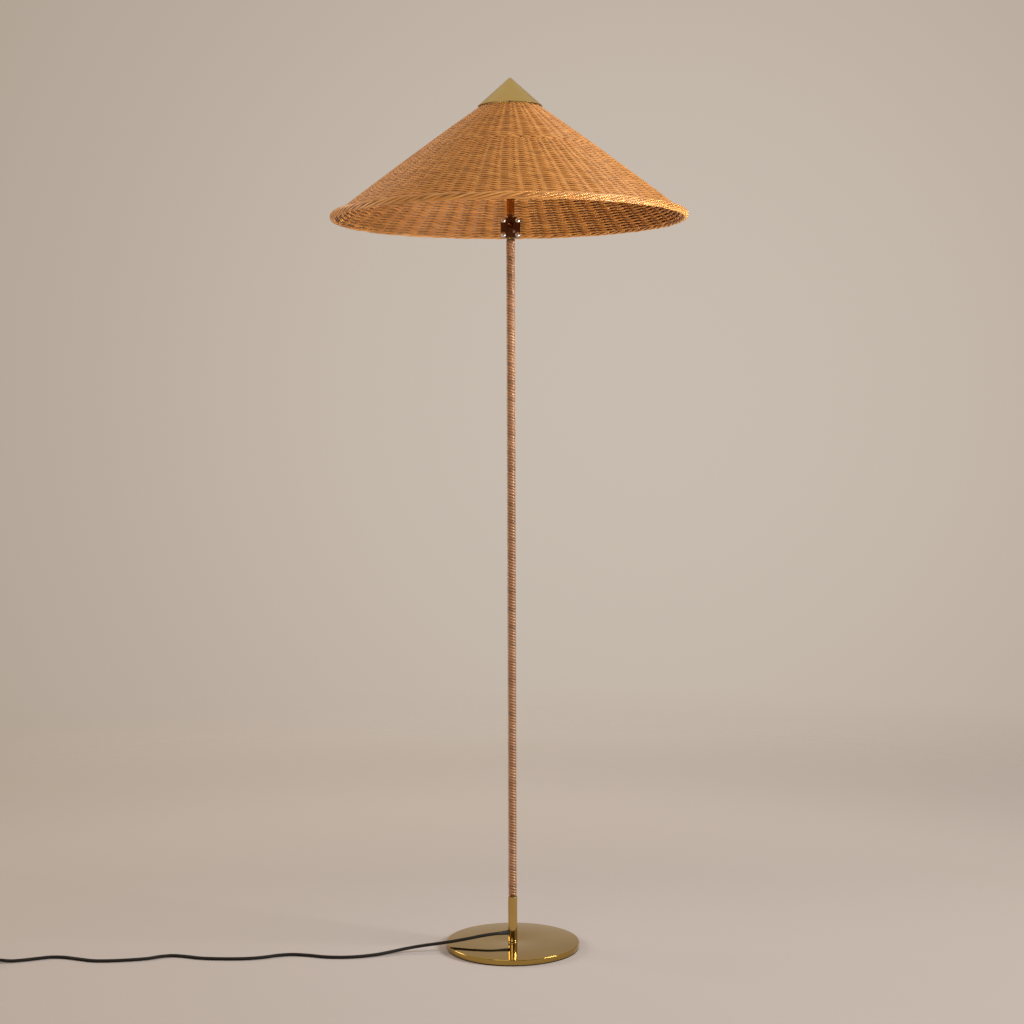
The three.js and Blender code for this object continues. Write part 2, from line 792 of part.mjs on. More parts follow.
/** Edison screw cap, hollow above for the glass neck. */
function bulbCap() {
  const bore = bulbCapRadius - bulbThreadDepth - bulbCapWall;
  const pocket = bulbCapHeight - bulbNeckInsert - seatGap;
  const rise = (pocket - bulbConeHeight) / bulbThreads;
  const thread = [];
  for (let turn = 0; turn < bulbThreads; turn += 1) {
    const height = bulbConeHeight + turn * rise;
    thread.push([bulbCapRadius - bulbThreadDepth, height], [bulbCapRadius, height + rise / 2]);
  }
  return revolve([
    [0, 0],
    [bulbTipRadius, 0],
    ...thread,
    [bulbCapRadius - bulbThreadDepth, pocket],
    [bulbCapRadius - bulbThreadDepth, bulbCapHeight],
    [bore, bulbCapHeight],
    [bore, pocket],
    [0, pocket],
  ], midSides);
}

/** Opal glass globe with an open neck: a sphere above a smooth neck. */
function bulbGlobe() {
  const centre = bulbHeight - bulbRadius;
  const blend = -48;
  const [shoulderRadius, shoulderHeight] = arc(bulbRadius, blend, blend, 1, centre)[0];
  const middle = [(bulbNeckRadius + shoulderRadius) / 2 - bulbGlass, (bulbNeckInsert + shoulderHeight) / 2];
  const neck = [[bulbNeckRadius, 0], [bulbNeckRadius, bulbNeckInsert], middle];
  const outside = [...neck, ...arc(bulbRadius, blend, 90, 7, centre)];
  const inside = [...arc(bulbRadius - bulbGlass, 90, blend, 4, centre), ...neck.reverse().map(([r, z]) => [r - bulbGlass, z])];
  return revolve([...outside, ...inside], midSides);
}

/** Outer surface of the shade at a share of its slope, as [radius, height] from the top edge. */
function shadeProfile(share) {
  const radius = shadeTopRadius + (shadeRimRadius - shadeTopRadius) * share;
  return [radius, -shadeDrop * share + 4 * shadeBulge * share * (1 - share)];
}

/** Direction out of the shade's surface at a share of its slope. */
function shadeNormal(share) {
  const run = shadeRimRadius - shadeTopRadius;
  const fall = -shadeDrop + 4 * shadeBulge * (1 - 2 * share);
  const length = Math.hypot(run, fall);
  return [-fall / length, run / length];
}

/** A point off the shade's outer surface by a distance, out being positive. */
function shadeOffset(share, distance) {
  const [radius, height] = shadeProfile(share);
  const [outward, upward] = shadeNormal(share);
  return [radius + distance * outward, height + distance * upward];
}

function slopeLength() {
  return Math.hypot(shadeRimRadius - shadeTopRadius, shadeDrop);
}

/** One row round the shade: three points a stake, its crest raised and its feet within its own bay. */
function shadeRow(share, distance, innerCrest, outerCrest) {
  const row = [];
  for (let stake = 0; stake < outerStakeCount; stake += 1) {
    const middle = (2 * Math.PI * stake) / outerStakeCount;
    const crest = stake % 2 ? outerCrest : innerCrest;
    const crowded = (stakeCrowdShare * 2 * Math.PI) / outerStakeCount;
    const spread = Math.min(stakeHalfWidth / shadeProfile(share)[0], crowded);
    [[-spread, 0], [0, crest], [spread, 0]].forEach(([turn, height]) => {
      const [radius, z] = shadeOffset(share, distance + height);
      row.push([radius * Math.cos(middle + turn), radius * Math.sin(middle + turn), z]);
    });
  }
  return row;
}

/** Woven shell, its stakes raised on both faces: 24 from the cap to the waling, 48 from there to the border. */
function shadeShell() {
  const run = shadeRimRadius - shadeTopRadius;
  const walingShare = (walingRadius - shadeTopRadius) / run;
  const halfShare = walingHalfWidth / run;
  const lastShare = 1 - (borderRadius + seatGap) / slopeLength();
  return skin([
    shadeRow(0, 0, stakeHeight, 0),
    shadeRow(walingShare - halfShare, 0, stakeHeight, 0),
    shadeRow(walingShare, walingHeight, 0, 0),
    shadeRow(walingShare + halfShare, 0, stakeHeight, stakeHeight),
    shadeRow(lastShare, 0, stakeHeight, stakeHeight),
    shadeRow(lastShare, -shadeWall, -stakeInnerHeight, -stakeInnerHeight),
    shadeRow(walingShare, -shadeWall, -stakeInnerHeight, 0),
    shadeRow(0, -shadeWall, 0, 0),
  ]);
}

/** Rolled border: a round ring over the ends of the stakes. */
function shadeBorder() {
  const [radius, height] = shadeProfile(1);
  const section = arc(borderRadius, 30, 330, 5, height).map(([out, lift]) => [radius + out, lift]);
  return revolve(section, outerStakeCount);
}

/** Where the carrier's top ring lies, under the shade's top edge, as [radius, height] from that edge. */
function carrierSeat() {
  return shadeOffset(carrierSeatShare, -(shadeWall + seatGap + carrierWireRadius));
}

/** Welded wire carrier: a ring on the lampholder, three arms, a top ring and three spokes to a hub. */
function shadeCarrier() {
  const innerRadius = skirtRadius + seatGap;
  const outerRadius = innerRadius + carrierRingWidth;
  const [topRadius] = carrierSeat();
  const wire = arc(carrierWireRadius, 0, 288, 4, carrierHeight).map(([radius, height]) => [topRadius + radius, height]);
  const lowerRing = ring(innerRadius, outerRadius, 0, carrierRingThickness, roundSides);
  const hub = bar(carrierHubRadius, carrierHeight - carrierHubHeight / 2, carrierHeight + carrierHubHeight / 2, smallSides);
  const rods = [0, 1, 2].flatMap((arm) => {
    const angle = (2 * Math.PI * (arm + 0.25)) / 3;
    const at = (radius, height) => [radius * Math.cos(angle), radius * Math.sin(angle), height];
    const foot = at(outerRadius - carrierArmRadius, carrierRingThickness / 2);
    const armRod = strut(foot, at(topRadius, carrierHeight), carrierArmRadius, coilSides);
    return [armRod, strut(at(0, carrierHeight), at(topRadius, carrierHeight), carrierArmRadius, coilSides)];
  });
  const frame = join(lowerRing, revolve(wire, roundSides), hub, ...rods);
  return cut(
    frame,
    bar(studRadius + seatGap, carrierHeight - carrierHubHeight, carrierHeight + carrierHubHeight, smallSides),
    bar(outerRadius, -carrierArmRadius - cutOverrun, 0, smallSides),
  );
}

/** Height of the cap's lip, resting on the stakes, above the shade's top edge. */
function capSeat() {
  const share = (capRadius - capSheet - shadeTopRadius) / (shadeRimRadius - shadeTopRadius);
  return shadeProfile(share)[1] + stakeHeight / shadeNormal(share)[1] + seatGap;
}

/** Spun brass cap: a thin cone with a lip and a boss for its stud. */
function shadeCap() {
  const slope = (capHeight - capLip) / (capRadius - capTipRadius);
  const sheet = capSheet * Math.hypot(1, slope);
  const inner = (radius) => capLip + (capRadius - radius) * slope - sheet;
  const lipRadius = capRadius - capSheet;
  const bossBottom = inner(capBossRadius) - capBossDepth;
  const hole = studRadius + seatGap;
  return revolve([
    [lipRadius, 0],
    [capRadius, 0],
    [capRadius, capLip],
    [capTipRadius, capHeight - capTipRadius / 2],
    [0, capHeight],
    [0, bossBottom + capBossDepth / 2],
    [hole, bossBottom + capBossDepth / 2],
    [hole, bossBottom],
    [capBossRadius, bossBottom],
    [capBossRadius, inner(capBossRadius)],
    [lipRadius, inner(lipRadius)],
  ], 2 * midSides);
}

/** Length of the stud's thick part, from the carrier's hub to the cap's boss. */
function studShoulder() {
  const slope = (capHeight - capLip) / (capRadius - capTipRadius);
  const boss = capLip + (capRadius - capBossRadius) * slope - capSheet * Math.hypot(1, slope) - capBossDepth;
  const hubTop = carrierSeat()[1] + carrierHubHeight / 2;
  return capSeat() + boss - seatGap - (hubTop + seatGap);
}

function capStud() {
  const shoulder = studShoulder();
  const top = shoulder + seatGap + capBossDepth / 2 - seatGap;
  return revolve([
    [0, -studTail],
    [studRadius, -studTail],
    [studRadius, 0],
    [studShoulderRadius, 0],
    [studShoulderRadius, shoulder],
    [studRadius, shoulder],
    [studRadius, top],
    [0, top],
  ], smallSides);
}

function capNut() {
  return cut(bar(capNutRadius, 0, capNutHeight, 6), bar(studRadius + seatGap, -cutOverrun, capNutHeight + cutOverrun, smallSides));
}

/** A stretch of cord: straight for two radii at both ends, then through its route. */
function cordStretch(start, startWay, route, end, endWay, steps) {
  const straight = 2 * cordRadius;
  const ahead = start.map((value, axis) => value + straight * startWay[axis]);
  const before = end.map((value, axis) => value - straight * endWay[axis]);
  return tubeAlong(routeCurve([start, ahead, ...route, before, end]), cordRadius, cordSides, steps);
}

function cordLead() {
  const [outX, outY] = glandDirection();
  const start = glandPoint(glandMouth() + seatGap);
  start[2] = cordExitHeight;
  const end = [switchStart[0] + seatGap, switchStart[1], switchCordHeight];
  return cordStretch(start, [outX, outY, 0], leadRoute, end, [-1, 0, 0], 54);
}

/** Lower half of the foot switch, with the cord grips and the contact block. */
function switchBase() {
  const body = raise(roundedRectangle(switchLength - 2 * switchGripLength, switchWidth, switchCornerRadius), switchBaseHeight, switchChamfer);
  const half = switchLength / 2;
  const root = half - switchGripLength - switchWall;
  const grip = (way) => strut([way * root, 0, switchCordHeight], [way * half, 0, switchCordHeight],
    switchGripRadius, cordSides, switchGripTipRadius);
  const block = bar(switchBossRadius, switchBaseHeight / 2, switchBaseHeight + switchBossHeight, smallSides);
  return join(body, grip(-1), grip(1), block);
}

function switchCover() {
  const length = switchLength - 2 * switchGripLength;
  const outline = roundedRectangle(length, switchWidth, switchCornerRadius);
  const hollow = roundedRectangle(length - 2 * switchWall, switchWidth - 2 * switchWall, switchCornerRadius - switchWall);
  return cut(
    raise(outline, switchCoverHeight, switchChamfer),
    raise(hollow, switchCoverHeight - switchWall + cutOverrun, 0).translate(0, 0, -cutOverrun),
    bar(buttonRadius + runGap, 0, switchCoverHeight + cutOverrun, roundSides),
    gripNotches(),
  );
}

/** Room in the cover's ends for the grips, which stand a little above the base. */
function gripNotches() {
  const drop = switchBaseHeight + seatGap;
  return bar(switchGripRadius + seatGap, -switchLength / 2, switchLength / 2, cordSides)
    .rotateY(Math.PI / 2)
    .translate(0, 0, switchCordHeight - drop);
}

function footButton() {
  const flange = buttonRadius + buttonFlangeWidth;
  const top = buttonFlangeThickness + runGap + switchWall + buttonProud;
  return revolve([
    [0, 0],
    [flange, 0],
    [flange, buttonFlangeThickness],
    [buttonRadius, buttonFlangeThickness],
    [buttonRadius, top - buttonChamfer],
    [buttonRadius - buttonChamfer, top],
    [0, top],
  ]);
}

/** The coil: in at the outside, round and in, up a layer where the spiral reverses, and out again. */
class CoilPath extends THREE.Curve {
  constructor() {
    super();
    this.loopSteps = coilTurns * coilSteps;
    this.stepCount = this.loopSteps + 2;
  }

  getUtoTmapping(share) {
    return share;
  }

  getPoint(share) {
    const step = share * this.stepCount - 1;
    const turn = THREE.MathUtils.clamp(step / coilSteps, 0, coilTurns);
    const fromMiddle = turn - coilTurns / 2;
    const radius = coilOuterRadius - coilPitch * (coilTurns / 2 - Math.abs(fromMiddle));
    const climb = THREE.MathUtils.clamp(0.5 + 2 * fromMiddle, 0, 1);
    const angle = Math.PI - 2 * Math.PI * turn;
    const straight = 2 * cordRadius * (THREE.MathUtils.clamp(step, -1, 0) + Math.max(step - this.loopSteps, 0));
    return new THREE.Vector3(
      coilCentre[0] + radius * Math.cos(angle),
      coilCentre[1] + radius * Math.sin(angle) + straight,
      cordRadius + coilPitch * climb,
    );
  }
}

/** Least gap of the coil to itself: points at least half a turn apart along it, less the cord's diameter. */
function coilGap(path) {
  const finer = 4;
  const points = path.getSpacedPoints(path.stepCount * finer);
  const apart = (coilSteps / 2) * finer;
  let least = Infinity;
  for (let i = 0; i < points.length; i += 1) {
    for (let j = i + apart; j < points.length; j += 1) least = Math.min(least, points[i].distanceTo(points[j]));
  }
  return least - 2 * cordRadius;
}

function cordCoil() {
  const path = new CoilPath();
  console.log(`least gap of the coil to itself: ${coilGap(path).toFixed(2)} mm`);
  return tubeAlong(path, cordRadius, coilSides, path.stepCount);
}

function cordTail() {
  const start = [switchStart[0] - switchLength - seatGap, switchStart[1], switchCordHeight];
  const end = new CoilPath().getPoint(0).toArray();
  end[1] -= seatGap;
  return cordStretch(start, [-1, 0, 0], tailRoute, end, [0, 1, 0], 14);
}

function cordEnd() {
  const start = new CoilPath().getPoint(1).toArray();
  start[1] += seatGap;
  const end = [plugStart[0] - seatGap, plugStart[1], plugCordHeight];
  return cordStretch(start, [0, 1, 0], endRoute, end, [1, 0, 0], 14);
}

/** Flat two-pin plug body, lying on the floor, its pins towards +X. */
function plugBody() {
  const half = plugWidth / 2;
  const tail = plugTailWidth / 2;
  const shoulder = plugLength * plugShoulderShare;
  const outline = new THREE.Shape([
    new THREE.Vector2(0, -tail),
    new THREE.Vector2(shoulder, -half),
    new THREE.Vector2(plugLength, -half),
    new THREE.Vector2(plugLength, half),
    new THREE.Vector2(shoulder, half),
    new THREE.Vector2(0, tail),
  ]);
  const hole = (side) => strut(
    [plugLength - plugPinRoot - seatGap, (side * plugPinSpacing) / 2, plugThickness / 2],
    [plugLength + cutOverrun, (side * plugPinSpacing) / 2, plugThickness / 2],
    plugPinRadius + seatGap,
    smallSides,
  );
  return cut(raise(outline, plugThickness, plugChamfer), hole(-1), hole(1));
}

function plugPin() {
  const tip = plugPinRadius / 2;
  return revolve([
    [0, -plugPinRoot],
    [plugPinRadius, -plugPinRoot],
    [plugPinRadius, plugPinLength - tip],
    [tip, plugPinLength],
    [0, plugPinLength],
  ], smallSides).rotateY(Math.PI / 2);
}

/** The foot: pad, disc, the bolt from below and the tube with its gland. */
function foot() {
  return [
    groupAt(0, piece('base_pad', basePad(), 'felt')),
    groupAt(baseBottom, piece('base_disc', baseDisc(), 'polishedBrass')),
    groupAt(boltSeat + seatGap + washerThickness, piece('base_washer', baseWasher(), 'steel')),
    groupAt(boltSeat, piece('base_bolt', baseBolt(), 'steel')),
    groupAt(
      footBottom,
      piece('foot_plug', footPlug(), 'steel'),
      piece('foot_tube', footTube(), 'polishedBrass'),
      piece('cord_gland', cordGland(), 'rubber'),
    ),
  ];
}

function stem() {
  return [
    piece('stem_core', stemCore(), 'steel'),
    groupAt(wrapBottom, piece('stem_cane_winding', stemWrap(), 'cane')),
    groupAt(flangeBottom, piece('swivel_spigot', swivelSpigot(), 'polishedBrass')),
    piece('stem_flex', stemFlex(), 'blackCord'),
  ];
}

function clampHead() {
  const front = -(jawSplit / 2 + jawDepth);
  const parts = [
    piece('clamp_jaw_front', clampJaw(-1), 'darkBronze'),
    piece('clamp_jaw_rear', clampJaw(1), 'darkBronze'),
  ];
  screwPlaces().forEach(([name, x, lift]) => {
    const screw = piece(`clamp_screw_${name}`, clampScrew(), 'brightSteel');
    screw.rotation.x = -Math.PI / 2;
    screw.position.set(x, front - seatGap, lift);
    const nut = piece(`clamp_nut_${name}`, clampNut(), 'brightSteel');
    nut.rotation.x = -Math.PI / 2;
    nut.position.set(x, -front + seatGap, lift);
    parts.push(screw, nut);
  });
  const retainer = piece('retaining_screw', retainingScrew(), 'brightSteel');
  retainer.rotation.x = -Math.PI / 2;
  retainer.position.set(pinOffset(), front + pinHeadHeight, pinLift());
  return groupAt(jawBottom, ...parts, retainer);
}

function lampholder() {
  return [
    groupAt(tubeLift + tubeLength - nippleInTube, piece('holder_nipple', holderNipple(), 'steel')),
    groupAt(cupLift + cupWall + seatGap, piece('nipple_nut', nippleNut(), 'steel')),
    groupAt(cupLift, piece('holder_cup', holderCup(), 'polishedBrass')),
    groupAt(insulatorLift, piece('holder_insulator', holderInsulator(), 'porcelain')),
    groupAt(insulatorLift + insulatorFloor + seatGap,
      piece('thread_shell', threadShell(), 'polishedBrass'),
      piece('centre_contact', centreContact(), 'polishedBrass')),
    groupAt(skirtLift, piece('holder_skirt', holderSkirt(), 'polishedBrass')),
    groupAt(carrierLift + carrierRingThickness + seatGap, piece('shade_ring_nut', shadeRingNut(), 'polishedBrass')),
  ];
}

function bulb() {
  const neckLift = bulbCapHeight - bulbNeckInsert;
  return groupAt(
    bulbLift,
    piece('bulb_cap', bulbCap(), 'steel'),
    groupAt(neckLift, piece('bulb_globe', bulbGlobe(), 'opalGlass')),
  );
}

function shade() {
  const ringLift = carrierLift + carrierHeight;
  const topLift = ringLift - carrierSeat()[1];
  const hubTop = ringLift + carrierHubHeight / 2;
  const hubBottom = ringLift - carrierHubHeight / 2;
  return [
    groupAt(carrierLift, piece('shade_carrier', shadeCarrier(), 'brightSteel')),
    groupAt(topLift, piece('rattan_shade', shadeShell(), 'rattan'), piece('rattan_border', shadeBorder(), 'rattan')),
    groupAt(topLift + capSeat(), piece('shade_cap', shadeCap(), 'polishedBrass')),
    groupAt(hubTop + seatGap, piece('cap_stud', capStud(), 'steel')),
    groupAt(hubBottom - seatGap - capNutHeight, piece('cap_nut', capNut(), 'steel')),
  ];
}

function lampHead() {
  return groupAt(
    ballHeight,
    piece('pivot_ball', pivotBall(), 'steel'),
    piece('head_flex', headFlex(), 'blackCord'),
    groupAt(tubeLift, piece('upper_tube', upperTube(), 'polishedBrass')),
    ...lampholder(),
    bulb(),
    ...shade(),
  );
}

function footSwitch() {
  const group = new THREE.Group();
  group.position.set(switchStart[0] - switchLength / 2, switchStart[1], 0);
  const coverLift = switchBaseHeight + seatGap;
  const ceiling = coverLift + switchCoverHeight - switchWall;
  group.add(
    piece('switch_base', switchBase(), 'blackPlastic'),
    groupAt(coverLift, piece('switch_cover', switchCover(), 'blackPlastic')),
    groupAt(ceiling - runGap - buttonFlangeThickness, piece('foot_button', footButton(), 'blackPlastic')),
  );
  return group;
}

function plug() {
  const group = new THREE.Group();
  group.position.set(plugStart[0], plugStart[1], 0);
  group.add(piece('plug_body', plugBody(), 'blackPlastic'));
  [['plug_pin_front', -1], ['plug_pin_rear', 1]].forEach(([name, side]) => {
    const pin = piece(name, plugPin(), 'brightSteel');
    pin.position.set(plugLength, (side * plugPinSpacing) / 2, plugThickness / 2);
    group.add(pin);
  });
  return group;
}

function mainsCord() {
  return [
    piece('cord_lead', cordLead(), 'blackCord'),
    footSwitch(),
    piece('cord_tail', cordTail(), 'blackCord'),
    piece('cord_coil', cordCoil(), 'blackCord'),
    piece('cord_end', cordEnd(), 'blackCord'),
    plug(),
  ];
}

const lamp = new THREE.Group();
lamp.add(...foot(), ...stem(), clampHead(), lampHead(), ...mainsCord());

export default lamp;
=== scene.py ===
"""Looks of the rattan floor lamp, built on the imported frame.

Metres, +Z up, +X to the right, -Y to the front. The origin is the middle of the foot on the floor.
Sizes below are millimetres where a name doesn't say otherwise, and become metres in make_mesh.
A profile lists its corners as (radius, height) or (radius, height, ease), where ease is how far from
the corner its rounding starts.
"""

import logging
import math
from dataclasses import dataclass, field, replace
from enum import Enum
from typing import Any, Callable, Sequence

import bpy
import numpy as np
from mathutils import Matrix, Vector


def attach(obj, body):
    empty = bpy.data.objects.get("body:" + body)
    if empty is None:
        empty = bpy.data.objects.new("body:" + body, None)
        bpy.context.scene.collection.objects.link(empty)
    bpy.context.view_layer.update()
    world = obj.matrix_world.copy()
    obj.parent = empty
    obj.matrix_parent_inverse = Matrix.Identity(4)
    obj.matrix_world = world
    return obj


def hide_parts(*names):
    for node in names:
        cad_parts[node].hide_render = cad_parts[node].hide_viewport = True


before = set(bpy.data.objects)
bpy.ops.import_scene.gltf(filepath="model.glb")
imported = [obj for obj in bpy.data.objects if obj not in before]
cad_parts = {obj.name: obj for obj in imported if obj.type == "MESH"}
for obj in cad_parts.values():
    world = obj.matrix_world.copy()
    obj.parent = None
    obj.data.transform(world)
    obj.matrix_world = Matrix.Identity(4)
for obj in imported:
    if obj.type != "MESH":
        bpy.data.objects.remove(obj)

LOG = logging.getLogger("lamp")
MM = 0.001
TURN = 2 * math.pi
Colour = tuple[float, float, float]
Point = tuple[float, float, float]
Waves = Sequence[Sequence[float]]
Profile = Sequence[tuple[float, ...]]


class Body(Enum):
    """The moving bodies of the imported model."""

    STAND = "stand"
    CLAMP = "clamp_head"
    HEAD = "shade_head"
    BUTTON = "switch_button"


@dataclass
class Patch:
    """One surface: corners in mm, quads and triangles, and the surface's own coordinates at each face corner."""

    points: np.ndarray
    quads: np.ndarray
    quad_coords: np.ndarray
    triangles: np.ndarray = field(default_factory=lambda: np.zeros((0, 3), int))
    triangle_coords: np.ndarray = field(default_factory=lambda: np.zeros((0, 3, 2)))

    def volume(self) -> float:
        """Signed volume: the sum over the triangles of a . (b x c) / 6, above zero where faces point outwards."""
        split = np.concatenate([self.quads[:, [0, 1, 2]], self.quads[:, [0, 2, 3]], self.triangles])
        a, b, c = (self.points[split[:, k]] for k in range(3))
        return float(np.einsum("ij,ij->i", a, np.cross(b, c)).sum() / 6)

    def outward(self) -> "Patch":
        """The same surface with its faces pointing outwards."""
        if self.volume() >= 0:
            return self
        faces = (self.quads, self.quad_coords, self.triangles, self.triangle_coords)
        return Patch(self.points, *(part[:, ::-1] for part in faces))

    def placed(self, origin: Sequence[float], axis: Sequence[float] = (0, 0, 1)) -> "Patch":
        """The surface with its Z axis turned to `axis` and its origin moved to `origin`.

        Args:
            origin: new place of the patch's origin, in mm.
            axis: direction that Z turns to.

        Returns:
            The placed surface: each corner is R p + origin, R being the least turn from Z to the axis.
        """
        turn = np.array(Vector((0, 0, 1)).rotation_difference(Vector(axis)).to_matrix())
        return replace(self, points=self.points @ turn.T + np.asarray(origin, float))


def joined(patches: Sequence[Patch]) -> Patch:
    """Several surfaces as one, their corners numbered on."""
    starts = np.cumsum([0] + [len(p.points) for p in patches])
    parts = [
        (p.points, p.quads + start, p.quad_coords, p.triangles + start, p.triangle_coords)
        for p, start in zip(patches, starts)
    ]
    return Patch(*(np.concatenate(kind) for kind in zip(*parts)))


def lattice(
    points: np.ndarray,
    lengths: np.ndarray,
    lane: float = 0.0,
    loop: bool = False,
    poles: tuple[np.ndarray, np.ndarray] | None = None,
) -> Patch:
    """A closed surface over a grid of points whose columns run once round.

    Args:
        points: corners, of shape (rows, sides, 3); each row closes on itself.
        lengths: length along the rows at each row, and once more at the end where the rows loop.
        lane: whole number added to the coordinate around, which tells one strand from the next.
        loop: whether the last row joins the first; otherwise a fan of triangles closes each end.
        poles: the points in the middle of the two end fans; the mean of the end row by default.

    Returns:
        The surface. Coordinates are (lane + share of the way round, length along).
    """
    rows, sides = points.shape[:2]
    row, side = np.meshgrid(np.arange(rows if loop else rows - 1), np.arange(sides), indexing="ij")
    after, beside = (row + 1) % rows, (side + 1) % sides
    quads = np.stack([row * sides + side, row * sides + beside, after * sides + beside, after * sides + side], -1)
    around = lane + np.stack([side, side + 1, side + 1, side], -1) / sides
    along = np.stack([lengths[row], lengths[row], lengths[row + 1], lengths[row + 1]], -1)
    coords = np.stack([around, along], -1).reshape(-1, 4, 2)
    corners = points.reshape(-1, 3)
    if loop:
        return Patch(corners, quads.reshape(-1, 4), coords).outward()
    first, last = poles if poles is not None else (points[0].mean(0), points[-1].mean(0))
    near, far = np.arange(sides), (np.arange(sides) + 1) % sides
    top, count = (rows - 1) * sides, len(corners)
    fans = np.concatenate([
        np.stack([far, near, np.full(sides, count)], -1),
        np.stack([top + near, top + far, np.full(sides, count + 1)], -1),
    ])
    share = lane + np.stack([near + 1, near, near + 0.5], -1) / sides
    ends = np.repeat([lengths[0], lengths[rows - 1]], sides)
    fan_coords = np.stack([np.concatenate([share, share]), np.repeat(ends[:, None], 3, 1)], -1)
    corners = np.concatenate([corners, [first, last]])
    return Patch(corners, quads.reshape(-1, 4), coords, fans, fan_coords).outward()


def way(points: np.ndarray, loop: bool = False) -> np.ndarray:
    """Running sum of the distances between neighbours, from zero; a loop comes back to its first point."""
    line = np.concatenate([points, points[:1]]) if loop else points
    return np.concatenate([[0], np.cumsum(np.linalg.norm(np.diff(line, axis=0), axis=1))])


def angles(count: int, phase: float = 0.0) -> np.ndarray:
    """Even angles once round, the first one `phase` steps on."""
    return TURN * (np.arange(count) + phase) / count


def bearing(angle: np.ndarray | float) -> np.ndarray:
    """Level unit vectors (cos a, sin a, 0)."""
    return np.stack([np.cos(angle), np.sin(angle), np.zeros_like(angle)], -1)


def smooth(share: Any) -> Any:
    """The step s^2 (3 - 2 s), level at 0 and at 1."""
    return share * share * (3 - 2 * share)


def rippled(base: Any, table: Waves, *ways: Any) -> Any:
    """A base with waves on it.

    Args:
        base: what the waves are added to.
        table: a (size, factor for each way, phase) row for each wave.
        ways: the quantities that the waves run along.

    Returns:
        The base plus size sin(factors . ways + phase) for each row.
    """
    for size, *factors, phase in table:
        base = base + size * np.sin(sum(factor * along for factor, along in zip(factors, ways)) + phase)
    return base


def eased(corners: Profile, closed: bool = True, steps: int = 5) -> np.ndarray:
    """A profile whose corners are rounded.

    Args:
        corners: the profile; a corner without an ease stays sharp.
        closed: whether the last corner joins the first.
        steps: points in each rounding.

    Returns:
        Points (n, 2). A rounding is the parabola (1-t)^2 p + 2t(1-t) c + t^2 q through the ends p, q of the
        ease and the corner c.
    """
    flat = np.array([corner[:2] for corner in corners], float)
    ease = np.array([corner[2] if len(corner) > 2 else 0.0 for corner in corners])
    if not closed:
        ease[[0, -1]] = 0
    share = np.linspace(0, 1, steps)[:, None]
    before, after = np.roll(flat, 1, 0) - flat, np.roll(flat, -1, 0) - flat
    line = []
    for corner, back, ahead, reach in zip(flat, before, after, ease):
        if reach == 0:
            line.append(corner[None])
            continue
        start = corner + back * reach / np.linalg.norm(back)
        end = corner + ahead * reach / np.linalg.norm(ahead)
        line.append((1 - share) ** 2 * start + 2 * share * (1 - share) * corner + share**2 * end)
    return np.concatenate(line)


def turned(profile: np.ndarray, sides: int = 96) -> Patch:
    """A profile of (radius, height) turned round Z: x = r cos a, y = r sin a, z = h.

    Args:
        profile: closed on itself, or starting and ending on the axis at radius 0.
        sides: facets round the axis.

    Returns:
        The closed surface.
    """
    solid = profile[0, 0] == 0
    line = profile[1:-1] if solid else profile
    points = line[:, None, :1] * bearing(angles(sides)) + line[:, None, 1:] * np.array([0, 0, 1])
    lengths = way(line, loop=True)
    if not solid:
        return lattice(points, lengths, loop=True)
    return lattice(points, lengths, poles=(np.array([0, 0, profile[0, 1]]), np.array([0, 0, profile[-1, 1]])))


def lathe(corners: Profile, sides: int = 96) -> Patch:
    """A profile with its corners eased, turned round Z; it is open where it starts on the axis."""
    return turned(eased(corners, closed=corners[0][0] != 0), sides)


def collar(inner: float, outer: float, bottom: float, top: float, ease: Sequence[float]) -> Profile:
    """The four corners of a ring's profile, with the eases from the lower inner one round by the outside."""
    flat = ((inner, bottom), (outer, bottom), (outer, top), (inner, top))
    return [(*corner, soft) for corner, soft in zip(flat, ease)]


def round_section(radius: float, sides: int) -> np.ndarray:
    """A circle as (outward, sideways) pairs."""
    return radius * bearing(angles(sides))[:, :2]


def swept(
    path: np.ndarray,
    section: np.ndarray,
    out: np.ndarray | Sequence[float] = (0, 0, 1),
    lane: float = 0.0,
    loop: bool = False,
) -> Patch:
    """A section carried along a path.

    Args:
        path: points (n, 3) of the centreline.
        section: (sides, 2) pairs of outward and sideways offsets, or (n, sides, 2) where it changes.
        out: outward direction, one or one a point; what lies along the path is taken off it.
        lane: number of the strand.
        loop: whether the path closes on itself.

    Returns:
        The surface: p + u N + v (T x N), with T along the path and N the outward direction square to it.
    """
    along = np.roll(path, -1, 0) - np.roll(path, 1, 0) if loop else np.gradient(path, axis=0)
    along /= np.linalg.norm(along, axis=1, keepdims=True)
    normal = np.broadcast_to(np.asarray(out, float), path.shape)
    normal = normal - np.einsum("ij,ij->i", normal, along)[:, None] * along
    normal = normal / np.linalg.norm(normal, axis=1, keepdims=True)
    side = np.cross(along, normal)
    shape = np.broadcast_to(section, (len(path), *section.shape[-2:]))
    points = path[:, None] + shape[..., :1] * normal[:, None] + shape[..., 1:] * side[:, None]
    return lattice(points, way(path, loop), lane, loop)


def rounded_outline(width: float, depth: float, corner: float, steps: int = 10) -> tuple[np.ndarray, np.ndarray]:
    """Outline of a rectangle with round corners.

    Args:
        width: size along X.
        depth: size along Y.
        corner: corner radius.
        steps: points in each corner.

    Returns:
        Points (n, 2) and the outward direction at each: corner centre plus the radius times that direction.
    """
    quarter = math.pi / 2
    out = bearing((np.arange(4)[:, None] * quarter + np.linspace(0, quarter, steps)).ravel())[:, :2]
    signs = np.repeat([[1, 1], [-1, 1], [-1, -1], [1, -1]], steps, 0)
    return signs * [width / 2 - corner, depth / 2 - corner] + corner * out, out


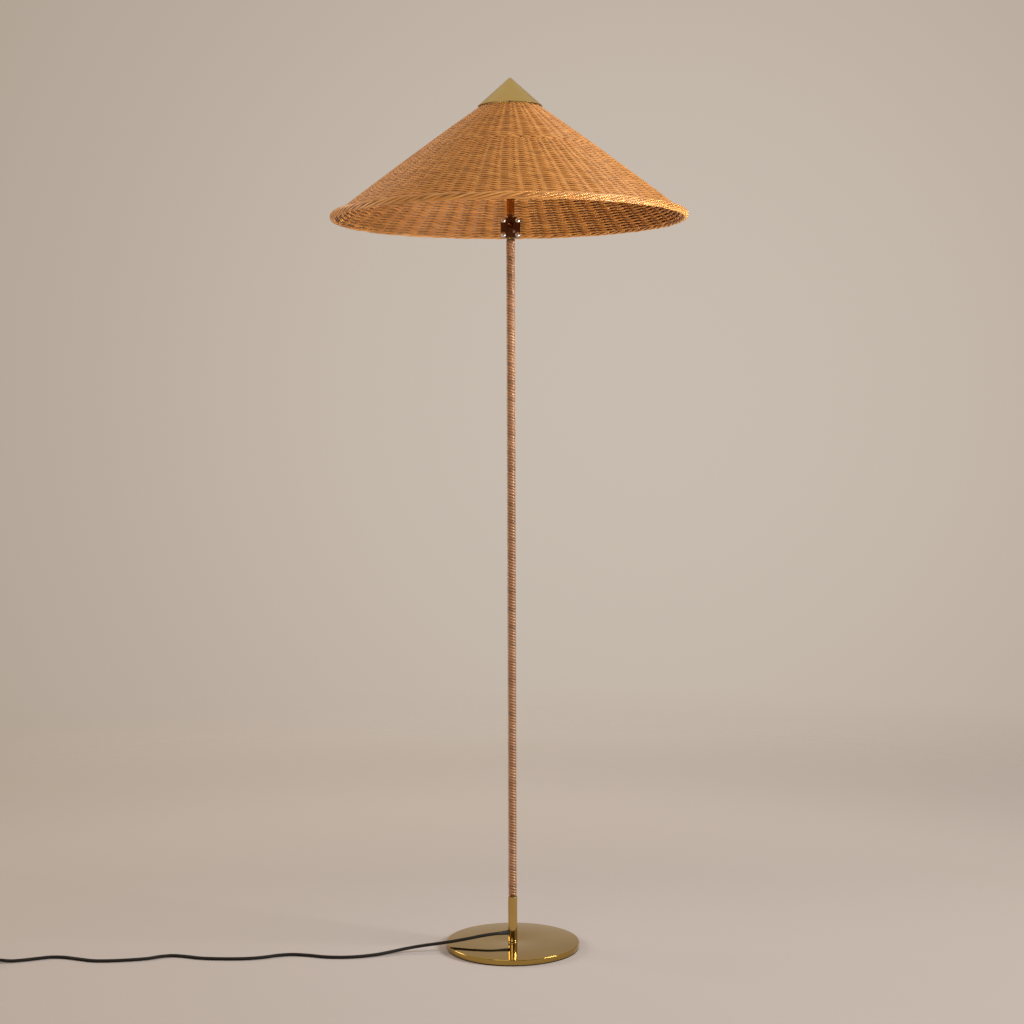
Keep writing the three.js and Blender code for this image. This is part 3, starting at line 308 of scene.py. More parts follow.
def curve_through(points: Sequence[Sequence[float]], spacing: float) -> np.ndarray:
    """A smooth line through given points.

    Args:
        points: places that the line passes.
        spacing: distance between the points returned.

    Returns:
        Points (n, 3) of a Catmull-Rom curve whose knots lie the root of the distance apart, by its pyramid of
        mixes: A = mix(p, p), B = mix(A, A), C = mix(B, B), all over the knots of the four points round a stretch.
    """
    given = np.asarray(points, float)
    whole = np.concatenate([[2 * given[0] - given[1]], given, [2 * given[-1] - given[-2]]])
    gaps = np.sqrt(np.linalg.norm(np.diff(whole, axis=0), axis=1))
    knots = np.concatenate([[0], np.cumsum(gaps)])
    samples_a_point = 60
    fine = np.linspace(knots[1], knots[-2], samples_a_point * len(given))
    start = np.clip(np.searchsorted(knots, fine, "right") - 1, 1, len(given) - 1)
    t = fine[:, None]
    k = [knots[start + i][:, None] for i in (-1, 0, 1, 2)]
    p = [whole[start + i] for i in (-1, 0, 1, 2)]
    for n in (1, 2):
        p = [((k[i + n] - t) * p[i] + (t - k[i]) * p[i + 1]) / (k[i + n] - k[i]) for i in range(4 - n)]
    line = ((k[2] - t) * p[0] + (t - k[1]) * p[1]) / (k[2] - k[1])
    length = way(line)
    even = np.linspace(0, length[-1], max(2, int(length[-1] / spacing)))
    return np.stack([np.interp(even, length, line[:, axis]) for axis in range(3)], -1)


def make_mesh(name: str, patch: Patch, crease: float) -> bpy.types.Object:
    """A mesh object of a patch, in metres, smooth but for creases.

    Args:
        name: the object's name.
        patch: the surface, in mm.
        crease: angle in degrees past which an edge stays sharp.

    Returns:
        The object, at the origin, unturned and unscaled.
    """
    corners = np.concatenate([patch.quads.ravel(), patch.triangles.ravel()]).astype(np.int32)
    sizes = np.repeat([4, 3], [len(patch.quads), len(patch.triangles)])
    starts = np.concatenate([[0], np.cumsum(sizes)[:-1]]).astype(np.int32)
    coords = np.concatenate([patch.quad_coords.reshape(-1, 2), patch.triangle_coords.reshape(-1, 2)]) * [1, MM]
    mesh = bpy.data.meshes.new(name)
    mesh.vertices.add(len(patch.points))
    mesh.loops.add(len(corners))
    mesh.polygons.add(len(sizes))
    mesh.vertices.foreach_set("co", (patch.points * MM).astype(np.float32).ravel())
    mesh.loops.foreach_set("vertex_index", corners)
    mesh.polygons.foreach_set("loop_start", starts)
    mesh.polygons.foreach_set("use_smooth", np.ones(len(sizes), bool))
    mesh.update(calc_edges=True)
    mesh.uv_layers.new(name="surface").data.foreach_set("uv", coords.astype(np.float32).ravel())
    mesh.set_sharp_from_angle(angle=math.radians(crease))
    mesh.validate()
    piece = bpy.data.objects.new(name, mesh)
    bpy.context.scene.collection.objects.link(piece)
    return piece


def _operator(operation: str, swapped: bool = False) -> Callable[..., "Socket"]:
    """A method of Socket that adds one Math node, with the other value first where it is swapped."""

    def method(self: "Socket", *others: Any) -> "Socket":
        """Adds the node and returns its output."""
        values = (*others, self) if swapped else (self, *others)
        return self.recipe.add("ShaderNodeMath", {"operation": operation}, dict(enumerate(values)))

    return method


class Socket:
    """A value in a material. Arithmetic on it adds Math nodes."""

    def __init__(self, recipe: "Recipe", link: bpy.types.NodeSocket) -> None:
        """Keeps the node socket and the recipe that it belongs to."""
        self.recipe = recipe
        self.link = link

    __add__, __radd__ = _operator("ADD"), _operator("ADD", swapped=True)
    __sub__, __rsub__ = _operator("SUBTRACT"), _operator("SUBTRACT", swapped=True)
    __mul__, __rmul__ = _operator("MULTIPLY"), _operator("MULTIPLY", swapped=True)
    __truediv__, __pow__ = _operator("DIVIDE"), _operator("POWER")
    sine, whole, largest = _operator("SINE"), _operator("FLOOR"), _operator("MAXIMUM")

    def held(self) -> "Socket":
        """The value kept between 0 and 1."""
        return self.recipe.add("ShaderNodeClamp", inputs={0: self, 1: 0.0, 2: 1.0})


class Recipe:
    """The node tree of a material or world, filled node by node."""

    def __init__(self, owner: Any) -> None:
        """Clears the owner's tree."""
        owner.use_nodes = True
        self.tree = owner.node_tree
        self.tree.nodes.clear()

    def add(
        self,
        kind: str,
        settings: dict[str, Any] | None = None,
        inputs: dict[Any, Any] | None = None,
        output: int | str = 0,
    ) -> Socket:
        """Adds one node.

        Args:
            kind: the node's type.
            settings: its options, such as an operation; "stops" fills a colour ramp with (place, colour) pairs.
            inputs: values or links by the socket's name or number.
            output: which output is returned.

        Returns:
            The chosen output.
        """
        node = self.tree.nodes.new(kind)
        for name, value in (settings or {}).items():
            if name == "stops":
                self._fill_ramp(node.color_ramp, value)
            else:
                setattr(node, name, value)
        for name, value in (inputs or {}).items():
            if isinstance(value, Socket):
                self.tree.links.new(value.link, node.inputs[name])
            else:
                node.inputs[name].default_value = value
        return Socket(self, node.outputs[output] if len(node.outputs) else node.inputs[0])

    @staticmethod
    def _fill_ramp(ramp: bpy.types.ColorRamp, stops: Sequence[tuple[float, Colour]]) -> None:
        """Sets a ramp's stops."""
        while len(ramp.elements) < len(stops):
            ramp.elements.new(0.5)
        for element, (place, colour) in zip(ramp.elements, stops):
            element.position = place
            element.color = (*colour, 1)

    def place(self) -> Socket:
        """Object coordinates, in metres in the lamp's frame."""
        return self.add("ShaderNodeTexCoord", output="Object")

    def part(self, source: Socket, axis: int) -> Socket:
        """One number of a vector."""
        return self.add("ShaderNodeSeparateXYZ", inputs={0: source}, output=axis)

    def surface(self) -> tuple[Socket, Socket]:
        """The surface's own coordinates: lane plus share round, and metres along."""
        both = self.add("ShaderNodeUVMap", {"uv_map": "surface"})
        return self.part(both, 0), self.part(both, 1)

    def vector(self, x: Any = 0.0, y: Any = 0.0, z: Any = 0.0) -> Socket:
        """A vector of three values."""
        return self.add("ShaderNodeCombineXYZ", inputs={0: x, 1: y, 2: z})

    def noise(self, source: Socket, scale: float = 1.0, detail: float = 2.0, rough: float = 0.5) -> Socket:
        """Smooth noise from 0 to 1, its middle near 0.5."""
        inputs = {"Vector": source, "Scale": scale, "Detail": detail, "Roughness": rough}
        return self.add("ShaderNodeTexNoise", inputs=inputs)

    def streaks(
        self, around: Socket, along: Socket, scale: Sequence[float], at: float = 0.0, **grain: float
    ) -> Socket:
        """Noise with its own scales round and along a strand; `at` sets one such noise apart from another."""
        return self.noise(self.vector(around * scale[0], along * scale[1], at), 1.0, **grain)

    def chance(self, number: Socket) -> Socket:
        """A random value from 0 to 1 for a whole number."""
        return self.add("ShaderNodeTexWhiteNoise", {"noise_dimensions": "1D"}, {"W": number})

    def blend(self, share: Any, first: Any, second: Any) -> Socket:
        """Mixes two colours."""
        first, second = ((*tone, 1) if isinstance(tone, tuple) else tone for tone in (first, second))
        return self.add("ShaderNodeMix", {"data_type": "RGBA"}, {0: share, 6: first, 7: second}, output=2)

    def ramp(self, value: Socket, *stops: tuple[float, Colour]) -> Socket:
        """A colour ramp over a value."""
        return self.add("ShaderNodeValToRGB", {"stops": stops}, {0: value})

    def close(self, height: Socket, relief: float, **sockets: Any) -> None:
        """Ends the tree in a principled shader.

        Args:
            height: bump height from 0 to 1.
            relief: depth of the bump in metres.
            sockets: values or links of the shader, by socket name with underscores for spaces.
        """
        inputs = {name.replace("_", " "): value for name, value in sockets.items()}
        inputs["Normal"] = self.add("ShaderNodeBump", {}, {"Strength": 1.0, "Distance": relief, "Height": height})
        shader = self.add("ShaderNodeBsdfPrincipled", {}, inputs)
        self.add("ShaderNodeOutputMaterial", {}, {"Surface": shader})


@dataclass(frozen=True)
class Finish:
    """A finish: its name, colour and roughness."""

    name: str
    colour: Colour
    roughness: float

    def material(self) -> bpy.types.Material:
        """The finish's material, made once and kept."""
        found = bpy.data.materials.get(self.name)
        if found:
            return found
        made = bpy.data.materials.new(self.name)
        self.fill(Recipe(made))
        return made

    def fill(self, recipe: Recipe) -> None:
        """Fills the tree; each kind of finish has its own."""
        raise NotImplementedError


@dataclass(frozen=True)
class PolishedMetal(Finish):
    """Bright metal with faint smears and a slow change of tone."""

    tarnish: Colour
    smear: float = 0.05
    ripple: float = 0.00002
    cloud_scale: float = 14.0
    wipe_scale: Point = (40.0, 220.0, 90.0)

    def fill(self, recipe: Recipe) -> None:
        """Tone and roughness follow slow noise, the bump a fine one."""
        place = recipe.place()
        cloud = recipe.noise(place, self.cloud_scale, 3.0)
        stretch = recipe.add("ShaderNodeVectorMath", {"operation": "MULTIPLY"}, {0: place, 1: self.wipe_scale})
        wipe = recipe.noise(stretch, detail=3.0)
        tone = recipe.ramp(cloud, (0.3, self.colour), (0.75, self.tarnish))
        rough = self.roughness + self.smear * (cloud * 0.5 + wipe * 0.5)
        recipe.close(wipe, self.ripple, Base_Color=tone, Roughness=rough, Metallic=1.0)


@dataclass(frozen=True)
class SpunMetal(Finish):
    """Metal spun on a lathe: fine rings about the lamp's axis."""

    tarnish: Colour
    ring_scale: float = 900.0
    cloud_scale: float = 22.0
    ripple: float = 0.00001

    def fill(self, recipe: Recipe) -> None:
        """Rings are noise on the height; smears are slow noise."""
        place = recipe.place()
        ring = recipe.noise(recipe.vector(recipe.part(place, 2) * self.ring_scale), 1.0, 3.0, 0.6)
        cloud = recipe.noise(place, self.cloud_scale, 4.0)
        tone = recipe.ramp(cloud * 0.7 + ring * 0.3, (0.3, self.colour), (0.7, self.tarnish))
        rough = self.roughness + 0.1 * ring + 0.12 * (cloud - 0.5)
        recipe.close(ring, self.ripple, Base_Color=tone, Roughness=rough, Metallic=1.0)


@dataclass(frozen=True)
class Strand(Finish):
    """Rattan or cane: each strand has its own tone, with long fibres, pores and darker marks.

    Scales are cycles round the strand or per metre along it.
    """

    dark: Colour
    light: Colour
    gloss: float = 0.15
    ring_spacing: float = 0.19
    ring_sharpness: float = 40.0
    relief: float = 0.0001
    patch_scale: tuple[float, float] = (3.1, 7.0)
    fibre_scale: tuple[float, float] = (26.0, 55.0)
    speck_scale: tuple[float, float] = (9.0, 260.0)
    speck_slice: float = 4.0
    tone_weight: float = 0.42
    patch_weight: float = 0.7
    fibre_weight: float = 0.35

    def fill(self, recipe: Recipe) -> None:
        """The lane picks the tone, noise stretched along the strand the fibres, slow noise the patches."""
        around, along = recipe.surface()
        lane = around.whole()
        tone, shift = recipe.chance(lane), recipe.chance(lane + 0.37)
        patch = recipe.streaks(lane, along, self.patch_scale)
        fibre = recipe.streaks(around, along, self.fibre_scale, detail=3.0, rough=0.65)
        speck = recipe.streaks(around, along, self.speck_scale, self.speck_slice)
        pick = tone * self.tone_weight + patch * self.patch_weight + (fibre - 0.5) * self.fibre_weight - 0.08
        base = recipe.ramp(pick.held(), (0.1, self.dark), (0.5, self.colour), (0.92, self.light))
        ring = ((along / self.ring_spacing + shift) * TURN).sine() ** self.ring_sharpness
        mark = (ring * 0.5 + (speck * 3.2 - 2.05).held() * 0.4).held()
        base = recipe.blend(mark, base, tuple(0.5 * part for part in self.dark))
        rough = (self.roughness + (fibre - 0.5) * 0.25 + mark * 0.1).held()
        height = fibre * 0.75 + ring * 0.4
        coat = {"Coat_Weight": self.gloss, "Coat_Roughness": 0.3} if self.gloss else {}
        recipe.close(height, self.relief, Base_Color=base, Roughness=rough, Metallic=0.0, **coat)


@dataclass(frozen=True)
class Braid(Finish):
    """A fine textile braid on a cord: two families of slanting yarns that cross; the lay is in metres. The thread
    colour is a painted highlight on the yarns' crests.
    """

    thread: Colour
    yarns: float = 8.0
    lay: float = 0.0062
    fuzz_scale: tuple[float, float] = (40.0, 900.0)
    relief: float = 0.00025
    shine: float = 0.2

    def fill(self, recipe: Recipe) -> None:
        """Height is the higher of sin(yarns turns + way / lay) and sin(yarns turns - way / lay)."""
        around, along = recipe.surface()
        spin = around * (self.yarns * TURN)
        step = along * (TURN * self.yarns / 4 / self.lay)
        yarn = (spin + step).sine().largest((spin - step).sine()) * 0.5 + 0.5
        fuzz = recipe.streaks(around, along, self.fuzz_scale)
        # Painted highlight: the yarns' crests take the lighter thread colour and the hollows between them the
        # darker base colour.
        tone = recipe.ramp((yarn * 0.7 + fuzz * 0.4).held(), (0.35, self.colour), (0.95, self.thread))
        height, rough = yarn * 0.8 + fuzz * 0.2, self.roughness + (fuzz - 0.5) * 0.2
        look = {"Base_Color": tone, "Roughness": rough, "Metallic": 0.0, "Specular_IOR_Level": self.shine}
        recipe.close(height, self.relief, **look)


@dataclass(frozen=True)
class Moulded(Finish):
    """Moulded plastic, rubber, felt, glue or glaze: one colour with a grain."""

    grain: float
    relief: float
    spread: float = 0.25
    cloud_scale: float = 30.0

    def fill(self, recipe: Recipe) -> None:
        """Colour, roughness and bump follow one grain and a slow noise."""
        place = recipe.place()
        grain = recipe.noise(place, self.grain, 3.0, 0.6)
        cloud = recipe.noise(place, self.cloud_scale)
        factors = (1 - self.spread, 1 + self.spread)
        low, high = (tuple(min(1.0, part * factor) for part in self.colour) for factor in factors)
        tone = recipe.ramp(grain * 0.6 + cloud * 0.4, (0.3, low), (0.7, high))
        rough = (self.roughness + (cloud - 0.5) * 0.15 + (grain - 0.5) * 0.1).held()
        recipe.close(grain, self.relief, Base_Color=tone, Roughness=rough, Metallic=0.0)


BRASS = PolishedMetal("polished_brass", (0.58, 0.395, 0.125), 0.05, (0.52, 0.345, 0.105))
DISC_BRASS = PolishedMetal("disc_brass", (0.47, 0.315, 0.083), 0.05, (0.41, 0.27, 0.066))
CAP_BRASS = SpunMetal("spun_brass", (0.59, 0.43, 0.15), 0.28, (0.52, 0.38, 0.13))
# Painted reflection: the clamp jaws are polished brass, darkened to stand in for the dark shade interior that
# they reflect.
JAW_BRASS_PAINTED_DARK = PolishedMetal("jaw_brass_painted_reflection", (0.24, 0.12, 0.06), 0.2, (0.12, 0.058, 0.028), smear=0.14)
# Painted shade: the swivel ball's copper is darkened so that the deep window in the clamp reads as dark.
BALL_COPPER_PAINTED_SHADE = PolishedMetal("ball_copper_painted_shade", (0.40, 0.19, 0.06), 0.2, (0.26, 0.12, 0.04))
# Painted reflection: the upper tube is brass, tinted orange-brown to stand in for the rattan's inside that it
# mirrors.
TUBE_BRASS_PAINTED_REFLECTION = PolishedMetal("tube_brass_painted_reflection", (0.72, 0.36, 0.085), 0.12, (0.56, 0.26, 0.06))
STEEL = SpunMetal("machined_steel", (0.50, 0.50, 0.49), 0.3, (0.40, 0.40, 0.39))
NICKEL = PolishedMetal("bright_nickel", (0.80, 0.77, 0.71), 0.07, (0.70, 0.67, 0.60))
# Painted highlight: the screws and nuts are near white so the whole of each head shines like the glints on dark
# domed heads.
SCREW_METAL_PAINTED_HIGHLIGHT = PolishedMetal("screw_metal_painted_highlight", (0.96, 0.87, 0.82), 0.26, (0.82, 0.70, 0.63))
WEAVE = Strand("rattan_strand", (0.57, 0.23, 0.042), 0.5, (0.43, 0.155, 0.025), (0.73, 0.34, 0.085), gloss=0.06)
FILLER = Strand("rattan_filler", (0.54, 0.215, 0.04), 0.55, (0.43, 0.16, 0.027), (0.68, 0.31, 0.075), gloss=0.0)
# Painted shade: dark rods laid deep in the weave stand in for the shadow in the gaps between rows, seen from
# inside.
PAINTED_GAP_SHADE = Strand("rattan_painted_gap_shade", (0.13, 0.055, 0.017), 0.6, (0.08, 0.032, 0.01), (0.19, 0.08, 0.026), gloss=0.0)
STAKE = Strand("rattan_stake", (0.60, 0.245, 0.052), 0.5, (0.50, 0.19, 0.042), (0.82, 0.42, 0.125))
RIM = Strand("rattan_rim", (0.60, 0.255, 0.056), 0.42, (0.37, 0.135, 0.026), (0.82, 0.44, 0.14), gloss=0.1)
CANE = Strand("wound_cane", (0.38, 0.175, 0.075), 0.28, (0.24, 0.10, 0.038), (0.57, 0.32, 0.165), gloss=0.5)
# Painted shade: a dark bed under the cane strips darkens the grooves between them.
GROOVE_SHADE_BED = Moulded("groove_painted_shade", (0.10, 0.045, 0.02), 0.6, grain=900.0, relief=0.0001)
BRAID = Braid("black_braid", (0.004, 0.003, 0.0024), 0.62, thread=(0.020, 0.015, 0.011))
RUBBER = Moulded("gland_rubber", (0.006, 0.005, 0.0045), 0.75, grain=1500.0, relief=0.00003)
PLASTIC = Moulded("black_plastic", (0.014, 0.014, 0.015), 0.38, grain=1900.0, relief=0.00004)
# Black felt, made near black so that the pad's edge also carries the contact shadow under the disc: partly
# painted shadow.
PAD_FELT_AND_SHADOW = Moulded("dark_felt_and_contact_shadow", (0.009, 0.008, 0.007), 0.95, grain=2600.0, relief=0.0003, spread=0.5)
PORCELAIN = Moulded("white_porcelain", (0.82, 0.79, 0.73), 0.16, grain=160.0, relief=0.00001, spread=0.05)
OPAL = Moulded("opal_glass", (0.90, 0.87, 0.80), 0.12, grain=60.0, relief=0.000005, spread=0.03)


def add_piece(
    name: str,
    patches: Patch | Sequence[Patch],
    finish: Finish,
    body: Body,
    nodes: Sequence[str],
    crease: float = 40,
) -> bpy.types.Object:
    """Makes a piece, dresses it and lets it ride on its body.

    Args:
        name: the piece's name.
        patches: its surface or surfaces, in mm.
        finish: its finish.
        body: the body it moves with.
        nodes: CAD nodes that it stands for.
        crease: angle in degrees past which an edge stays sharp.

    Returns:
        The finished object.
    """
    patch = patches if isinstance(patches, Patch) else joined(patches)
    piece = make_mesh(name, patch, crease)
    piece.data.materials.append(finish.material())
    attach(piece, body.value)
    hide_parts(*nodes)
    LOG.info("%s: %d corners on %s", name, len(patch.points), body.value)
    return piece


@dataclass(frozen=True)
class Turning:
    """A piece turned from one profile, whose heights count from the base."""

    name: str
    node: str
    finish: Finish
    body: Body
    slot: str
    base: float
    profile: Profile
    sides: int = 96

    def build(self) -> None:
        """Makes the piece."""
        patch = lathe(self.profile, self.sides).placed((0, 0, self.base))
        add_piece(self.name, patch, self.finish, self.body, [self.node])


FOOT_DISC = Turning("foot_disc", "base_disc", DISC_BRASS, Body.STAND, "brass_base", 1.7, (
    (10.3, 0, 0.3), (115.6, 0, 1.0), (115.6, 9.2, 1.3), (4.3, 9.2, 0.2), (4.3, 6, 0.2), (10.3, 6, 0.3),
), sides=224)
FOOT_SLEEVE = Turning("foot_sleeve", "foot_tube", BRASS, Body.STAND, "brass_base", 11.2, (
    (6.3, 0, 0.2), (8.4, 0, 0.6), (8.4, 0.9, 0.7), (8, 1.4, 0.3), (8, 77.8, 0.5), (6.3, 77.8, 0.2),
))
FELT_RING = Turning(
    "felt_ring", "base_pad", PAD_FELT_AND_SHADOW, Body.STAND, "felt", 0.0,
    collar(16, 114.8, 0, 1.5, (0.3, 0.4, 0.4, 0.3)), sides=128,
)
WINDING_BED = Turning(
    "winding_bed", "stem_cane_winding", GROOVE_SHADE_BED, Body.STAND, "cane", 89.3,
    collar(6.32, 6.6, 0, 1136.5, (0.1, 0.2, 0.2, 0.1)), sides=32,
)
BRIGHT_TUBE = Turning(
    "bright_tube", "upper_tube", TUBE_BRASS_PAINTED_REFLECTION, Body.HEAD, "dark_brass", 1266.99,
    collar(5.3, 6.5, 0, 38.7, (0.2, 0.5, 0.5, 0.2)), sides=72,
)
SOCKET_CUP = Turning("socket_cup", "holder_cup", BRASS, Body.HEAD, "brass_base", 1305.99, (
    (5.3, 0, 0.2), (19, 0, 1.6), (20, 5, 2.0), (20, 30, 0.3),
    (19, 30, 0.2), (19, 5, 1.5), (18, 1, 0.8), (5.3, 1, 0.2),
))
SOCKET_CORE = Turning("socket_porcelain", "holder_insulator", PORCELAIN, Body.HEAD, "porcelain", 1313.99, (
    (0, 0), (18.7, 0, 1.0), (18.7, 30, 1.2), (13.9, 30, 0.8), (13.9, 8, 0.6), (0, 8),
))
SOCKET_SKIRT = Turning("socket_skirt", "holder_skirt", BRASS, Body.HEAD, "brass_base", 1336.29, (
    (19, 0, 0.2), (23, 0, 0.5), (23, 1.5, 0.5), (20.4, 1.5, 0.4), (20.4, 20, 0.5), (19, 20, 0.3),
))
DRESSED = (
    (STEEL, ("base_washer", "base_bolt", "foot_plug", "stem_core")),
    (STEEL, ("holder_nipple", "nipple_nut", "cap_stud", "cap_nut")),
    (BRASS, ("swivel_spigot", "thread_shell", "centre_contact")),
    (JAW_BRASS_PAINTED_DARK, ("clamp_jaw_front", "clamp_jaw_rear")),
    (BRAID, ("stem_flex", "head_flex")),
)
GLAND_HEIGHT = 26.15
GLAND_WAY = bearing(math.radians(200.0))


def dress_nodes(finish: Finish, names: Sequence[str]) -> None:
    """Gives the CAD nodes of these names, which stay in view, their finish."""
    for name in names:
        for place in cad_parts[name].material_slots:
            place.material = finish.material()
        LOG.info("%s: dressed", name)


@dataclass
class Boot:
    """Tapered rubber boot round the cord; its heights count outwards from the stem's axis."""

    flange: Profile = ((2.72, 6.4), (3.4, 6.4), (3.4, 8.3), (4.2, 8.3), (4.2, 9.7), (4.0, 10.2))
    mouth: Profile = ((3.02, 26.05), (2.8, 26.3), (2.72, 26.3))
    taper: tuple[float, float] = (10.7, 25.5)
    radius: float = 3.9
    fall: float = 0.75
    ribs: int = 6
    groove: float = 0.45

    def build(self) -> None:
        """Makes the boot: its radius falls evenly along the taper, less groove sin^6 at each rib."""
        share = np.linspace(0, 1, 80)
        radius = self.radius - self.fall * share - self.groove * np.sin(math.pi * self.ribs * share) ** 6
        taper = np.stack([radius, np.linspace(*self.taper, 80)], -1)
        patch = turned(np.concatenate([self.flange, taper, self.mouth]), 40)
        placed = patch.placed((0, 0, GLAND_HEIGHT), GLAND_WAY)
        add_piece("cord_boot", placed, RUBBER, Body.STAND, ["cord_gland"])


@dataclass
class Winding:
    """Three strips of cane wound round the stem side by side."""

    bottom: float = 89.3
    top: float = 1225.8
    bore: float = 6.32
    radius: float = 7.68
    pitch: float = 4.9
    starts: int = 3
    width: float = 4.0
    steps: int = 32
    crown: Sequence[float] = (-1.0, -0.86, -0.45, 0.0, 0.45, 0.86, 1.0)
    foot_share: float = 0.46
    wander: Waves = ((0.12, 1.7, 1, 0), (0.08, 0.61, 2, 0))
    swell: Waves = ((0.03, 2.9, 1, 0),)

    def build(self) -> None:
        """Makes the winding."""
        strips = [self.strip(number) for number in range(self.starts)]
        add_piece("cane_winding", strips, CANE, Body.STAND, ["stem_cane_winding"], crease=60)

    def strip(self, number: int) -> Patch:
        """One strip: a crowned section, lower by |v|^3 at its edges, led up a left-handed helix of even pitch.

        Args:
            number: which of the strips; each starts 1 / starts of a turn after the last.

        Returns:
            A closed tube whose path wanders by a tenth of a millimetre and whose width swells a little.
        """
        lowest, highest = self.bottom + self.width / 2, self.top - self.width / 2
        rise = highest - lowest
        count = int(self.steps * rise / (self.pitch * self.starts))
        turn = np.arange(count + 1) / self.steps
        out = bearing(-TURN * (turn + number / self.starts))
        path = (self.bore + self.radius) / 2 * out
        level = lowest + turn * rise / (count / self.steps) + rippled(0, self.wander, turn, number)
        path[:, 2] = np.clip(level, lowest, highest)
        half = (self.radius - self.bore) / 2
        across = np.array(self.crown)
        upper = np.stack([half * (1 - 1.75 * np.abs(across) ** 3), across * self.width / 2], -1)
        foot = self.width * self.foot_share
        section = np.concatenate([upper, [[-half, foot], [-half, -foot]]])
        swell = rippled(1, self.swell, turn, number)[:, None, None]
        return swept(path, section[None] * np.concatenate([np.ones_like(swell), swell], -1), out)


@dataclass
class ClampScrews:
    """The clamp block's screws and nuts; the jaws are the CAD's own. Heights count from the seat of each head."""

    lower: float = 1232.6
    upper: float = 1256.9
    aside: float = 12.05
    seat: float = 12.3
    pin_place: Point = (6.0, -10.6, 1237.5)
    screw: Profile = (
        (0, -1.9), (1.35, -1.9, 0.15), (1.35, -3.28, 0.2), (2.79, -3.162, 0.9), (4.365, -1.428, 1.1),
        (4.5, 0, 0.3), (2, 0, 0.1), (2, 27.4, 0.4), (0, 27.4),
    )
    nut: Profile = (
        (0, 3.4), (2.3, 3.4, 0.2), (2.3, 0, 0.2), (4.5, 0, 0.4),
        (4.5, 1.6, 0.8), (3.24, 4.3, 1.2), (0.9, 4.95, 0.4), (0, 5),
    )
    pin: Profile = (
        (0, -0.5), (1.3, -0.5, 0.1), (1.3, -1.4, 0.2), (2.5, -1.4, 0.3),
        (2.5, -0.3, 0.2), (1.2, -0.3, 0.1), (1.2, 18.5, 0.3), (0, 18.5),
    )

    def build(self) -> None:
        """Makes the screws, the domed nuts behind them and the retaining screw."""
        for side, x in (("left", -self.aside), ("right", self.aside)):
            for level, z in (("lower", self.lower), ("upper", self.upper)):
                for kind, profile, y in (("screw", self.screw, -self.seat), ("nut", self.nut, self.seat)):
                    node = f"clamp_{kind}_{level}_{side}"
                    self.add(f"{kind}_{level}_{side}", profile, 48, (x, y, z), "dark_brass", node)
        self.add("holding_screw", self.pin, 40, self.pin_place, "bright_steel", "retaining_screw")

    @staticmethod
    def add(name: str, profile: Profile, sides: int, place: Point, slot: str, node: str) -> None:
        """Turns one of them and lays it front to back at its place."""
        patch = lathe(profile, sides).placed(place, (0, 1, 0))
        add_piece(name, patch, SCREW_METAL_PAINTED_HIGHLIGHT, Body.CLAMP, [node])


@dataclass
class SwivelBall:
    """Hollow ball with its neck, collar and spigot; heights count from the ball's middle."""

    pivot: float = 1248.8
    radius: float = 7.98
    mouth: float = 3.8
    neck: float = 4.5
    rest: Profile = (
        (4.5, 15.89, 0.4), (6.5, 15.89, 0.5), (6.5, 17.89, 0.3), (5, 17.89, 0.1),
        (5, 29.89, 0.4), (3.1, 29.89, 0.2), (3.1, -4, 0.5),
    )

    def build(self) -> None:
        """Makes the ball."""
        low, high = math.acos(self.mouth / self.radius), math.acos(self.neck / self.radius)
        angle = np.linspace(-low, high, 36)
        ball = self.radius * np.stack([np.cos(angle), np.sin(angle)], -1)
        patch = turned(np.concatenate([ball, eased(self.rest, closed=False)]), 72).placed((0, 0, self.pivot))
        add_piece("swivel_ball", patch, BALL_COPPER_PAINTED_SHADE, Body.HEAD, ["pivot_ball"])


@dataclass
class SocketRing:
    """Fluted ring nut that holds the carrier."""

    bottom: float = 1339.99
    height: float = 7.0
    bore: float = 20.7
    radius: float = 25.1
    smooth_radius: float = 22.4
    flutes: int = 36
    depth: float = 0.45

    def build(self) -> None:
        """Makes the ring: its outer radius dips by depth |cos(flutes a / 2)|^8."""
        patch = lathe(collar(self.bore, self.radius, 0, self.height, (0.3, 0.7, 0.9, 0.3)), 288)
        x, y = patch.points[:, 0], patch.points[:, 1]
        radius = np.hypot(x, y)
        share = np.clip((radius - self.smooth_radius) / (self.radius - self.smooth_radius), 0, 1)
        dip = self.depth * share * np.abs(np.cos(self.flutes * np.arctan2(y, x) / 2)) ** 8
        patch.points[:, :2] *= ((radius - dip) / radius)[:, None]
        placed = patch.placed((0, 0, self.bottom))
        add_piece("socket_ring", placed, BRASS, Body.HEAD, ["shade_ring_nut"])


